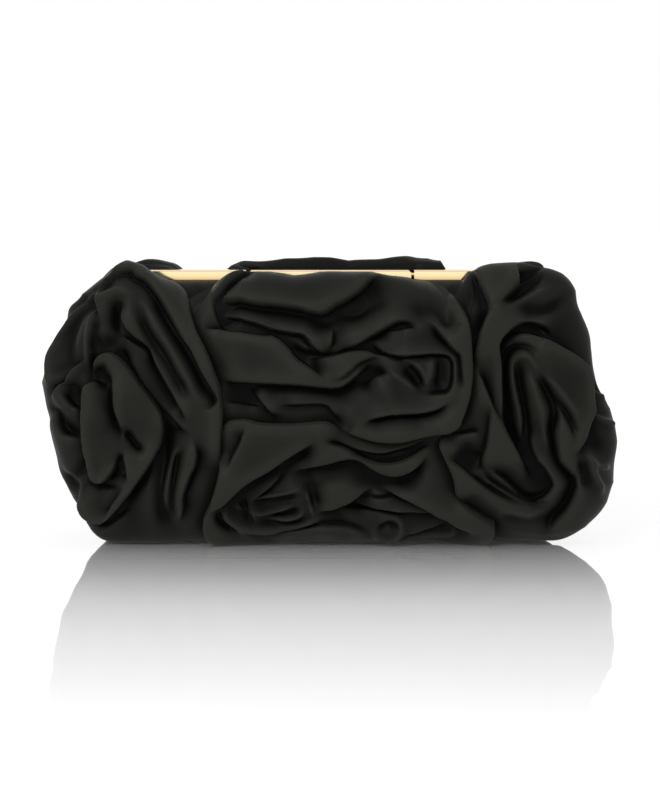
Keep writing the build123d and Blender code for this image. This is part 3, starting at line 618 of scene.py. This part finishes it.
def own_folds(folds, meets, seed, amount=3.5):
    """A layout of folds with wandering lines and other heights."""
    rng = np.random.default_rng(seed)
    changed = []
    for kind, *numbers, points in folds:
        scale = rng.uniform(0.6, 1.3)
        first = 1 if kind == "lip" else 0
        numbers[first] *= scale
        if kind == "lip":
            numbers[2] *= scale
            numbers[3] *= rng.uniform(0.9, 1.4)
        changed.append((kind, *numbers, wander(points, amount)))
    return changed, [(own, wander(points, amount)) for own, points in meets]


def cover_depth(x, z):
    """How far the cover stands out from the parting at x and z; 0 outside it."""
    half, low, high = COVER_HIGH[0], COVER_LOW[2], COVER_HIGH[2]
    corner = FRAME_CORNER - (FRAME_HALF - half)
    outside = rounded_distance(x, z - (low + high) / 2, half, (high - low) / 2, corner)[0]
    slope = np.clip(EDGE_OUT + outside, 0, EDGE_OUT)
    depth = -COVER_LOW[1] - EDGE_OUT + np.sqrt(EDGE_OUT**2 - slope**2)
    return np.where(outside < 0, depth, 0)


def satin_piece(name, folds, meets, span, outline, back=False, seed=1, step=FINE):
    """One rosette as a mesh: a grid of cloth, folded, trimmed and laid on the form."""
    u_axis = np.arange(span[0], span[1] + step, step)
    v_axis = np.arange(span[2], span[3] + step, step)
    u, v = np.meshgrid(u_axis, v_axis)
    p, n, tu, tv = form(u, v, outline)
    cloth = Cloth(u, v, outline)
    for fold in folds:
        getattr(cloth, fold[0])(*fold[1:])
    for own, points in meets:
        cloth.meet(own, points)
    crisp = blur(cloth.crisp, MARK_BLUR / step)
    h = crisp * blur(cloth.h, CRISP_BLUR / step) + (1 - crisp) * blur(cloth.h, SOFT_BLUR / step)
    h = np.where(h < 0, DEEPEST * np.tanh(h / DEEPEST), HIGHEST * np.tanh(h / HIGHEST))
    h += WAVES * gentle_waves(u, v, seed)
    out, _, _ = from_core(u, v)
    rim = smooth((CLOTH_END - out) / FOLD_FADE)
    h = h * rim
    su, sv = (blur(shift, SHIFT_BLUR / step) * rim for shift in (cloth.su, cloth.sv))
    p = p + n * h[..., None] + tu * su[..., None] + tv * sv[..., None]
    p[..., 1] = np.minimum(p[..., 1], -np.maximum(1.2, cover_depth(p[..., 0], p[..., 2]) + 0.5))
    by_bar = (np.abs(p[..., 0]) < BAR_ROOM_HALF) & (p[..., 2] > BAR_ROOM_LOW)
    p[..., 1] = np.where(by_bar, np.minimum(p[..., 1], -BAR_ROOM_FRONT), p[..., 1])
    p[..., 2] = np.maximum(p[..., 2], 0.0)
    keep = (out <= CLOTH_END) & (cloth.edge > 0)
    # Painted shade and light: a place below the cloth round it gets a darker satin colour, and a place above
    # it, such as a lip edge, a lighter one.
    wide, narrow = blur(h, WIDE_BLUR / step) - h, blur(h, NARROW_BLUR / step) - h
    depth = np.clip(0.5 + wide / WIDE_SHADE_SCALE + narrow / NARROW_SHADE_SCALE, 0, 1)
    return grid_object(name, p, keep, back, depth)


def add_object(name, data):
    obj = bpy.data.objects.new(name, data)
    bpy.context.scene.collection.objects.link(obj)
    return obj


def mesh_object(name, points, faces):
    """A smooth-shaded object from points in millimetres, with coinciding points joined."""
    mesh = bpy.data.meshes.new(name)
    mesh.from_pydata((np.asarray(points) * MM).tolist(), [], faces)
    work = bmesh.new()
    work.from_mesh(mesh)
    bmesh.ops.remove_doubles(work, verts=work.verts, dist=1e-7)
    bmesh.ops.delete(work, geom=[e for e in work.edges if not e.link_faces], context="EDGES")
    bmesh.ops.recalc_face_normals(work, faces=work.faces)
    for face in work.faces:
        face.smooth = True
    work.to_mesh(mesh)
    work.free()
    return add_object(name, mesh)


def grid_faces(rows, cols, first=0, wrap=False):
    """The quads of a grid of points numbered row by row, closed across if wrap is set."""
    around = cols if wrap else cols - 1
    return [
        (first + r * cols + c, first + r * cols + (c + 1) % cols,
         first + (r + 1) * cols + (c + 1) % cols, first + (r + 1) * cols + c)
        for r in range(rows - 1)
        for c in range(around)
    ]


def grid_object(name, p, keep, back, depth):
    """The kept part of a grid as an object; back turns it round to the rear half."""
    rows, cols = keep.shape
    quad = keep[:-1, :-1] & keep[1:, :-1] & keep[:-1, 1:] & keep[1:, 1:]
    r, c = np.where(quad)
    index = np.arange(rows * cols).reshape(rows, cols)
    faces = np.stack([index[r, c], index[r, c + 1], index[r + 1, c + 1], index[r + 1, c]], 1)
    used, faces = np.unique(faces, return_inverse=True)
    faces = faces.reshape(-1, 4)
    co = p.reshape(-1, 3)[used] * MM
    if back:
        co = co * np.array([-1, -1, 1])
    mesh = bpy.data.meshes.new(name)
    mesh.from_pydata(co.tolist(), [], faces.tolist())
    mesh.update()
    mesh.polygons.foreach_set("use_smooth", [True] * len(mesh.polygons))
    # The painted shade and light of each point: low values give the lighter ridge colour, high values the
    # painted dark of folds.
    mesh.attributes.new("painted_fold_shade", "FLOAT", "POINT").data.foreach_set("value", depth.ravel()[used])
    return add_object(name, mesh)


# ---- cloth and padding over the shells ----
# Each layer of a half is a profile carried round the frame's outline. A profile is rows of
# (in, depth, shrink): how far inside the frame's outline, how far from the parting, and,
# for the flat middle, how far the ring has shrunk towards the middle of the frame.
RING_SPACING = 1.6


def frame_ring():
    """Evenly spaced points round the frame's outline: x, z, and the direction out of it."""
    points = []
    for k, (sx, sz) in enumerate(((1, 1), (-1, 1), (-1, -1), (1, -1))):
        cx = sx * (FRAME_HALF - FRAME_CORNER)
        cz = FRAME_MIDDLE + sz * (FRAME_HALF_HEIGHT - FRAME_CORNER)
        for a in np.linspace(k * math.pi / 2, (k + 1) * math.pi / 2, 16):
            c, s = math.cos(a), math.sin(a)
            points.append((cx + FRAME_CORNER * c, cz + FRAME_CORNER * s, c, s))
    points.append(points[0])
    points = np.array(points)
    length = np.concatenate([[0], np.cumsum(np.hypot(*np.diff(points[:, :2], axis=0).T))])
    even = np.linspace(0, length[-1], int(length[-1] / RING_SPACING), endpoint=False)
    return np.stack([np.interp(even, length, points[:, k]) for k in range(4)], 1)


def dome_profile(inset, near, far, edge):
    """Side wall, rounded edge and flat middle of a dish, from its rim to its middle."""
    rows = [(inset, y, 0) for y in np.linspace(near, far - edge, 6)]
    for a in np.linspace(0, math.pi / 2, 14)[1:]:
        rows.append((inset + edge * (1 - math.cos(a)), far - edge + edge * math.sin(a), 0))
    rows += [(inset + edge, far, k) for k in np.linspace(0, 1, 24)[1:]]
    return rows


def carried_round(name, profiles, side, change=None):
    """One or more profiles carried round the frame, as one mesh. side is -1 for the front."""
    ring = frame_ring()
    centre = np.array([0, FRAME_MIDDLE])
    points, faces = [], []
    for rows in profiles:
        start = len(points) * len(ring)
        for inset, depth, shrink in rows:
            flat = centre + (ring[:, :2] - ring[:, 2:] * inset - centre) * (1 - shrink)
            points.append(np.stack([flat[:, 0], np.full(len(ring), side * depth), flat[:, 1]], 1))
        faces += grid_faces(len(rows), len(ring), start, wrap=True)
    points = np.concatenate(points)
    if change is not None:
        points = change(points)
    return mesh_object(name, points, faces)


def clear_top(points, half_width, height):
    """Keeps a layer's upper edge below a height over the middle of the bag."""
    inside = np.abs(points[:, 0]) < half_width
    points[inside, 2] = np.minimum(points[inside, 2], height)
    return points


def unevenness(points, length, seed):
    """Slow random waves over the x and z of points, about -1 to 1."""
    rng = np.random.default_rng(seed)
    total = np.zeros(len(points))
    for _ in range(10):
        way = rng.normal(size=2)
        way *= 2 * math.pi / (rng.uniform(0.6, 1.5) * length * np.linalg.norm(way))
        total += np.sin(points[:, 0] * way[0] + points[:, 2] * way[1] + rng.uniform(0, 6.3))
    return total / 4


def edge_puckers(points, low, high, reach, size, pitch):
    """Small gathers square to the edge of a dish, which die away towards its middle."""
    x, z = points[:, 0], points[:, 2] - FRAME_MIDDLE
    around = np.arctan2(z / FRAME_HALF_HEIGHT, x / FRAME_HALF)
    in_x, in_z = high[0] - np.abs(x), high[2] - FRAME_MIDDLE - np.abs(z)
    near = np.exp(-np.maximum(np.minimum(in_x, in_z), 0) / reach)
    turns = round(4 * (FRAME_HALF + FRAME_HALF_HEIGHT) / pitch)
    wave = np.sin(turns * around + 2.0 * np.sin(5 * around)) * (0.6 + 0.4 * np.sin(13 * around))
    return size * near * wave


def layer_box(half, layer):
    """A layer's box, how far inside the frame's outline it starts, and the nearest and the
    farthest that it comes to the parting."""
    low, high = box_mm(f"{half}_{layer}")
    return low, high, FRAME_HALF - high[0], min(abs(low[1]), abs(high[1])), max(-low[1], high[1])


def cover_layer(half, side, seed):
    """The satin that is stretched over the padding, seen between the rosettes."""
    low, high, inset, near, far = layer_box(half, "cover")
    rows = dome_profile(inset, near, far - 0.6, EDGE_OUT)

    def change(points):
        pull = edge_puckers(points, low, high, reach=10.0, size=0.5, pitch=7.0)
        slow = np.minimum(unevenness(points, 26.0, seed), 1)
        points[:, 1] += side * (0.3 * slow + pull - 0.3)
        points[:, 1] = side * np.maximum(side * points[:, 1], near)
        return clear_top(points, COVER_ROOM_HALF, COVER_ROOM_LOW) if side < 0 else points

    return carried_round(f"{half}_cover_satin", [rows], side, change)


def padding_layer(half, side):
    """Wadding between the shell and the cover: a closed layer, thinner at its rim."""
    _, _, inset, near, far = layer_box(half, "padding")
    thick, gap, edge = 2.4, 0.15, EDGE_OUT - 1
    outer = dome_profile(inset + gap, near + 0.3, far - gap, edge)
    inner = dome_profile(inset + thick, near + 0.3, far - thick, edge - thick)
    rim = [outer[0], (inset + gap + thick / 2, near, 0), inner[0]]

    def change(points):
        return clear_top(points, COVER_ROOM_HALF, COVER_ROOM_LOW) if side < 0 else points

    return carried_round(f"{half}_wadding", [outer, rim, inner], side, change)


def lining_layer(half, side, seed):
    """The satin inside a half: a flat rim against the frame and a dish with small gathers."""
    low, high, inset, rim_y, far = layer_box(half, "lining")
    dish = inset + LINING_RIM
    bend = 1.2
    rows = [(k, rim_y + 0.25, 0) for k in np.linspace(inset, dish - bend, 6)]
    for a in (0.5, 1.0, 1.5):
        rows.append((dish - bend + bend * math.sin(a), rim_y + 0.25 + bend - bend * math.cos(a), 0))
    rows += dome_profile(dish, rim_y + 2.2, far - LINING_WALL, EDGE_IN)

    def change(points):
        inner = smooth((side * points[:, 1] - rim_y - 1.0) / 3.0)
        pull = edge_puckers(points, low, high, reach=26.0, size=0.45, pitch=5.0)
        slack = 0.25 * (unevenness(points, 40.0, seed) + 1)
        points[:, 1] -= side * inner * np.maximum(slack + pull, 0)
        if side < 0:
            return clear_top(points, LATCH_ROOM_HALF, FRONT_LATCH_ROOM_LOW)
        clear_top(points, LATCH_ROOM_HALF, REAR_LATCH_ROOM_LOW)
        return clear_top(points, CATCH_ROOM_HALF, CATCH_ROOM_LOW)

    return carried_round(f"{half}_lining_satin", [rows], side, change)


GUSSET_PANELS, PANEL_POINTS = 10, 10


def gusset(side, word):
    """A fan of satin pleats between the halves, drawn shut. The pleats point into the bag."""
    low, high = box_mm(f"gusset_{word}")
    outer, inner = (high[0], low[0]) if side > 0 else (low[0], high[0])
    tall = np.linspace(low[2] + 0.3, high[2] - 0.3, 40)
    across = PANEL_POINTS * GUSSET_PANELS + 1
    t = np.linspace(0, GUSSET_PANELS, across)
    points = []
    for z in tall:
        saw = np.abs((t % 2) - 1)
        soft = 0.5 - 0.5 * np.cos(math.pi * saw)
        reach_in = (0.35 + 0.65 * smooth((z - low[2]) / 30.0)) * (inner - outer) * 0.96
        x = outer + reach_in * (1 - (0.55 * saw + 0.45 * soft))
        x += 0.35 * math.sin(0.21 * z) * np.sin(math.pi * t / GUSSET_PANELS) * -side
        y = np.linspace(high[1] - 0.1, low[1] + 0.1, across)
        points.append(np.stack([x, y, np.full(across, z)], 1))
    points = np.concatenate(points)
    points[:, 0] = np.clip(points[:, 0], low[0] + 0.1, high[0] - 0.1)
    obj = mesh_object(f"gusset_{word}_pleats", points, grid_faces(len(tall), across))
    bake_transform(obj)
    return obj


def slip_pocket():
    """A flat pocket on the rear lining, stitched down at its sides and bottom, open above."""
    low, high = box_mm("inner_pocket")
    rows, cols = 50, 90
    x, z = np.meshgrid(np.linspace(low[0], high[0], cols), np.linspace(low[2], high[2], rows))
    to_side = np.minimum(x - low[0], high[0] - x)
    to_edge = np.minimum(to_side, z - low[2])
    bulge = smooth(to_edge / 9.0)
    open_mouth = smooth((z - low[2] - 20) / (high[2] - low[2] - 20)) * smooth(to_side / 40)
    gathers = np.sin(x * 2 * math.pi / 9.5 + np.sin(x / 17)) * np.exp(-(z - low[2]) / 12)
    y = high[1] - 0.2 - 1.0 * bulge - 0.9 * open_mouth + 0.35 * gathers * bulge
    points = np.stack([x, np.clip(y, low[1] + 0.1, high[1] - 0.1), z], -1).reshape(-1, 3)
    return mesh_object("inner_pocket_satin", points, grid_faces(rows, cols))


def pocket_binding():
    """The band of satin folded over the pocket's mouth, with a ridge along each edge."""
    low, high = box_mm("pocket_trim")
    middle_y, middle_z = (low[1] + high[1]) / 2, (low[2] + high[2]) / 2
    half_y, half_z = (high[1] - low[1]) / 2, (high[2] - low[2]) / 2
    x_axis = np.linspace(low[0], high[0], 120)
    around = 28
    points = []
    for x in x_axis:
        end = min(1.0, (min(x - low[0], high[0] - x) + 0.4) / 2.0)
        for a in np.linspace(0, 2 * math.pi, around, endpoint=False):
            c, s = math.cos(a), math.sin(a)
            flat_c = math.copysign(abs(c) ** 0.35, c)
            bead = 0.72 + 0.28 * abs(flat_c * abs(c)) + 0.05 * math.sin(2.4 * x)
            y = middle_y + half_y * s * min(bead, 1.0) * end
            points.append((x, y, middle_z + half_z * flat_c * end))
    faces = grid_faces(len(x_axis), around, wrap=True)
    faces.append(tuple(range(around)))
    faces.append(tuple(reversed(range((len(x_axis) - 1) * around, len(x_axis) * around))))
    return mesh_object("pocket_binding", points, faces)


# ---- materials ----
def fill(node, values):
    """Sets inputs of a node: each to a number or colour, or to another node's output."""
    for name, value in values.items():
        if isinstance(value, bpy.types.NodeSocket):
            node.id_data.links.new(value, node.inputs[name])
        else:
            node.inputs[name].default_value = value
    return node


def add_node(tree, kind, values):
    return fill(tree.nodes.new(kind), values)


def new_material(name, color, roughness, metallic=0.0):
    mat = bpy.data.materials.new(name)
    mat.use_nodes = True
    shader = mat.node_tree.nodes["Principled BSDF"]
    fill(shader, {"Base Color": (*color, 1), "Roughness": roughness, "Metallic": metallic})
    return mat, mat.node_tree, shader


def place_on(tree):
    """The object's own coordinates, in metres."""
    return tree.nodes.new("ShaderNodeTexCoord").outputs["Object"]


def noise(tree, scale, detail=2.0, stretch=(1, 1, 1)):
    """Noise over the object, stretched along an axis."""
    place = add_node(tree, "ShaderNodeMapping", {"Scale": stretch, "Vector": place_on(tree)})
    values = {"Scale": scale, "Detail": detail, "Vector": place.outputs["Vector"]}
    return add_node(tree, "ShaderNodeTexNoise", values).outputs["Fac"]


def ribs(tree, pitch):
    """Fine parallel ribs on the diagonal, pitch metres apart."""
    values = {"Scale": math.pi / 10 / pitch, "Distortion": 1.5, "Vector": place_on(tree)}
    texture = add_node(tree, "ShaderNodeTexWave", values)
    texture.bands_direction = "DIAGONAL"
    return texture.outputs["Fac"]


def spread(tree, source, low, high, start=0.3, end=0.7):
    """A number that goes from low to high as the source goes from start to end."""
    values = {"From Min": start, "From Max": end, "To Min": low, "To Max": high, "Value": source}
    return add_node(tree, "ShaderNodeMapRange", values).outputs[0]


def ramp(tree, source, *stops):
    """A colour that follows the source through stops, each a place and a colour."""
    node = add_node(tree, "ShaderNodeValToRGB", {"Fac": source})
    elements = node.color_ramp.elements
    for element, (place, color) in zip(elements, (stops[0], stops[-1])):
        element.position = place
        element.color = (*color, 1)
    for place, color in stops[1:-1]:
        elements.new(place).color = (*color, 1)
    return node.outputs["Color"]


def add_bump(shader, height, distance, strength, under=None):
    values = {"Strength": strength, "Distance": distance, "Height": height}
    if under is not None:
        values["Normal"] = under
    normal = add_node(shader.id_data, "ShaderNodeBump", values).outputs["Normal"]
    fill(shader, {"Normal": normal})
    return normal


def satin_material(name, base_and_ridge_light, fold_shade, roughness):
    """Satin: a soft gloss that varies slowly, a fine diagonal weave, and painted shade in its folds with
    painted light on its ridges and lip edges.
    """
    mat, tree, shader = new_material(name, base_and_ridge_light, roughness)
    # Painted shade and light: a point attribute leads the colour from the lighter ridge colour to the
    # painted dark of folds.
    depth = tree.nodes.new("ShaderNodeAttribute")
    depth.attribute_name = "painted_fold_shade"
    fill(shader, {
        "IOR": 1.13,
        "Sheen Weight": 0.03,
        "Sheen Roughness": 0.4,
        "Sheen Tint": (0.9, 0.92, 0.85, 1),
        "Base Color": ramp(tree, depth.outputs["Fac"], (0.08, base_and_ridge_light), (0.75, fold_shade)),
        "Roughness": spread(tree, noise(tree, 45), roughness - 0.04, roughness + 0.05),
    })
    crease = add_bump(shader, noise(tree, 260, 3.0), 0.00012, 0.5)
    add_bump(shader, ribs(tree, 0.00035), 0.00002, 0.6, crease)
    return mat


def gold_material(name, color, roughness, low=None, high=None):
    """Polished gold plate: hairline scratches along the bag and faint smears. Between the heights low and
    high, in metres,
    painted shade and light run over it: darker towards the bottom where it meets the satin, a thin painted
    dark line just under the top edge, and paler towards the top."""
    mat, tree, shader = new_material(name, color, roughness, 1.0)
    paler = tuple(min(1.0, c * 1.06 + 0.01) for c in color)
    if low is None:
        shade = ramp(tree, noise(tree, 35), (0.3, color), (0.7, paler))
    else:
        # Painted shade and light by height: painted shade at the bottom, a painted dark line under the top
        # edge, painted light at the top.
        height = add_node(tree, "ShaderNodeSeparateXYZ", {"Vector": place_on(tree)}).outputs["Z"]
        rise = spread(tree, height, 0.0, 1.0, low, high)
        under, lower = (0.0, (0.48, 0.3, 0.1)), (0.3, (0.85, 0.62, 0.3))
        line, top = (0.91, (0.6, 0.4, 0.2)), (0.96, (0.96, 0.82, 0.6))
        shade = ramp(tree, rise, under, lower, (0.5, color), (0.86, paler), line, top)
    smear = spread(tree, noise(tree, 60, 4.0), 0.85 * roughness, 1.2 * roughness)
    fill(shader, {"Base Color": shade, "Roughness": smear})
    add_bump(shader, noise(tree, 900, 2.0, (0.04, 1, 1)), 0.000004, 0.3)
    return mat


def steel_material():
    """Spring steel strip, brushed along its length."""
    mat, tree, shader = new_material("spring_steel", (0.5, 0.49, 0.47), 0.3, 1.0)
    brushed = noise(tree, 2500, 2.0, (1, 1, 0.03))
    fill(shader, {"Roughness": spread(tree, brushed, 0.22, 0.4)})
    add_bump(shader, brushed, 0.00001, 0.6)
    return mat


def board_material():
    """Moulded shell board: near black, with pressed fibres."""
    mat, tree, shader = new_material("shell_board", (0.03, 0.03, 0.03), 0.75)
    fibres = noise(tree, 700, 5.0, (1, 0.4, 1))
    dark, light = (0.018, 0.018, 0.018), (0.05, 0.049, 0.047)
    fill(shader, {"Base Color": ramp(tree, fibres, (0.3, dark), (0.7, light))})
    add_bump(shader, fibres, 0.0001, 0.7)
    return mat


def wadding_material():
    """Needled wadding: grey, soft and hairy."""
    mat, tree, shader = new_material("wadding", (0.12, 0.12, 0.12), 0.95)
    hair = noise(tree, 1400, 6.0, (0.25, 1, 0.4))
    dark, light = (0.07, 0.07, 0.07), (0.2, 0.2, 0.19)
    fill(shader, {"Sheen Weight": 0.3, "Base Color": ramp(tree, hair, (0.3, dark), (0.7, light))})
    add_bump(shader, hair, 0.0004, 0.8)
    return mat


# Black satin's colour with painted light on its ridges and lip edges, and the painted shade of its folds.
SATIN_AND_RIDGE_LIGHT = (0.0172, 0.0177, 0.0146)
FOLD_SHADE_COLOR = (0.0014, 0.0014, 0.0012)
SATIN = satin_material("black_satin", SATIN_AND_RIDGE_LIGHT, FOLD_SHADE_COLOR, 0.44)
# The cover's satin is much darker than the rosettes' satin: painted shade for the gap between the rosettes
# and the frame.
SHADED_COVER_SATIN = satin_material("cover_satin", (0.004, 0.004, 0.0036), FOLD_SHADE_COLOR, 0.5)
LINING = satin_material("lining_satin", (0.016, 0.016, 0.0155), FOLD_SHADE_COLOR, 0.36)
# The gold's painted shade and light run between these heights on the frame's front face.
GOLD = gold_material("polished_gold", (0.95, 0.78, 0.46), 0.1, (FRAME_TOP - 5.6) * MM, FRAME_TOP * MM)
FITTINGS = gold_material("plated_fittings", (0.85, 0.64, 0.32), 0.24)
STEEL = steel_material()
BOARD = board_material()
WADDING = wadding_material()

# ---- build ----
REACH_U = CORE_HALF + CLOTH_END
LOW_V = FORM_MIDDLE - CORE_HIGH - CLOTH_END
HIGH_V = FORM_MIDDLE + CORE_HIGH + CLOTH_END
MIDDLE_MEETS = [(1, LEFT_MEETS_MIDDLE), (-1, MIDDLE_MEETS_RIGHT)]
ROSETTES = {
    "left": (with_pairs(LEFT_FOLDS), [(-1, LEFT_MEETS_MIDDLE)], (-REACH_U, -30, LOW_V, HIGH_V)),
    "upper": (with_pairs(UPPER_FOLDS), [*MIDDLE_MEETS, (1, UPPER_MEETS_LOWER)], (-90, 90, 30, HIGH_V)),
    "lower": (with_pairs(LOWER_FOLDS), [*MIDDLE_MEETS, (-1, UPPER_MEETS_LOWER)], (-90, 100, LOW_V, 80)),
    "right": (with_pairs(RIGHT_FOLDS), [(1, MIDDLE_MEETS_RIGHT)], (30, REACH_U, LOW_V, HIGH_V)),
}


def put(obj, body, node, material):
    """Gives a new piece its material and body, and hides the CAD node that it stands for."""
    obj.data.materials.append(material)
    if body:
        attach(obj, body)
    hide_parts(node)
    return obj


def layer_pieces():
    for half, side, seed in (("front", -1, 41), ("rear", 1, 51)):
        body = f"{half}_half"
        wadding = put(padding_layer(half, side), body, f"{half}_padding", WADDING)
        cover = put(cover_layer(half, side, seed), body, f"{half}_cover", SHADED_COVER_SATIN)
        lining = put(lining_layer(half, side, seed), body, f"{half}_lining", LINING)


def rosette_pieces():
    for k, (word, (folds, meets, span)) in enumerate(ROSETTES.items()):
        front = satin_piece(f"front_satin_{word}", folds, meets, span, FRONT_OUTLINE, seed=11 + k)
        folds, meets = own_folds(folds, meets, seed=31 + k)
        back = satin_piece(
            f"rear_satin_{word}", folds, meets, span, REAR_OUTLINE, True, seed=21 + k, step=COARSE
        )
        for obj, half in ((front, "front"), (back, "rear")):
            put(obj, f"{half}_half", f"{half}_rosette_{word}", SATIN)


layer_pieces()
rosette_pieces()
for side, word in ((-1, "left"), (1, "right")):
    put(gusset(side, word), None, f"gusset_{word}", LINING)
binding = put(pocket_binding(), "rear_half", "pocket_trim", LINING)
pocket = put(slip_pocket(), "rear_half", "inner_pocket", LINING)

SLOT_MATERIALS = {
    "satin": SATIN,
    "wadding": WADDING,
    "shell_board": BOARD,
    "lining_satin": LINING,
    "gilt": GOLD,
    "gilt_fittings": FITTINGS,
    "spring_steel": STEEL,
}
NODE_SLOTS = {part["node"]: part["material_slot"] for part in frame["record"]["subparts"]}
for name, node in NODES.items():
    for place in node.material_slots:
        place.material = SLOT_MATERIALS[NODE_SLOTS[name]]

# ---- stage, lights, camera ----
FLOOR_HALF = 12.0
MIRROR_END = 0.78
MIRROR_FADE = ((0, 0.97), (0.1, 0.82), (0.23, 0.57), (0.36, 0.43), (0.68, 0.1), (1, 0))


def floor_material():
    """White and glossy: what stands on it is mirrored at a low angle, more so close by."""
    mat, tree, shader = new_material("floor", (0.93, 0.93, 0.93), 0.9)
    fill(shader, {"Emission Color": (1, 1, 1, 1), "Emission Strength": 0.1, "Specular IOR Level": 0.0})
    apart = add_node(tree, "ShaderNodeSeparateXYZ", {"Vector": place_on(tree)})
    away = tree.nodes.new("ShaderNodeMath")
    away.operation = "ABSOLUTE"
    fill(away, {0: apart.outputs["Y"]})
    reach = spread(tree, away.outputs[0], 0, 1, 0, MIRROR_END)
    fade = add_node(tree, "ShaderNodeFloatCurve", {"Value": reach})
    points = fade.mapping.curves[0].points
    points[0].location, points[1].location = MIRROR_FADE[0], MIRROR_FADE[-1]
    for place, share in MIRROR_FADE[1:-1]:
        points.new(place, share)
    fade.mapping.update()
    glance = add_node(tree, "ShaderNodeLayerWeight", {"Blend": 0.5})
    steep = spread(tree, glance.outputs["Facing"], 0, 1, 0.5, 0.88)
    share = tree.nodes.new("ShaderNodeMath")
    share.operation = "MULTIPLY"
    fill(share, {0: fade.outputs[0], 1: steep})
    mirror = add_node(tree, "ShaderNodeBsdfGlossy", {"Roughness": 0.02, "Color": (1, 1, 1, 1)})
    mix = add_node(tree, "ShaderNodeMixShader", {0: share.outputs[0], 1: shader.outputs[0]})
    fill(mix, {2: mirror.outputs[0]})
    fill(tree.nodes["Material Output"], {"Surface": mix.outputs[0]})
    return mat


mesh = bpy.data.meshes.new("floor")
corners = [(x * FLOOR_HALF, y * FLOOR_HALF, 0) for x, y in ((-1, -1), (1, -1), (1, 1), (-1, 1))]
mesh.from_pydata(corners, [], [(0, 1, 2, 3)])
floor = add_object("floor", mesh)
mesh.materials.append(floor_material())
floor.visible_diffuse = False

bpy.context.scene.view_settings.view_transform = "Standard"
world = bpy.data.worlds.new("studio")
bpy.context.scene.world = world
world.use_nodes = True
fill(world.node_tree.nodes["Background"], {"Color": (1, 1, 1, 1), "Strength": 1.0})


def aim(thing, place, target):
    """Puts a light or camera at a place, pointing at a target."""
    thing.location = place
    thing.rotation_euler = (target - thing.location).to_track_quat("-Z", "Y").to_euler()


lamp = bpy.data.lights.new("key", "AREA")
lamp.shape = "RECTANGLE"
lamp.size, lamp.size_y = 0.8, 0.7
lamp.energy = 12
aim(add_object("key", lamp), (-0.7, -1.3, 0.95), Vector((0, 0, 0.06)))

# How wide the view is at the bag, from how high it is seen, and what the camera aims at.
VIEW_WIDTH = 316.8 * MM
ELEVATION = math.radians(5.5)
TARGET = Vector((0, -0.015, 0.068))
lens = bpy.data.cameras.new("camera")
lens.sensor_fit = "HORIZONTAL"
lens.sensor_width = 36
lens.lens = 110
lens.dof.use_dof = False
reach = VIEW_WIDTH * lens.lens / lens.sensor_width
camera = add_object("camera", lens)
aim(camera, TARGET + reach * Vector((0, -math.cos(ELEVATION), math.sin(ELEVATION))), TARGET)
bpy.context.scene.camera = camera
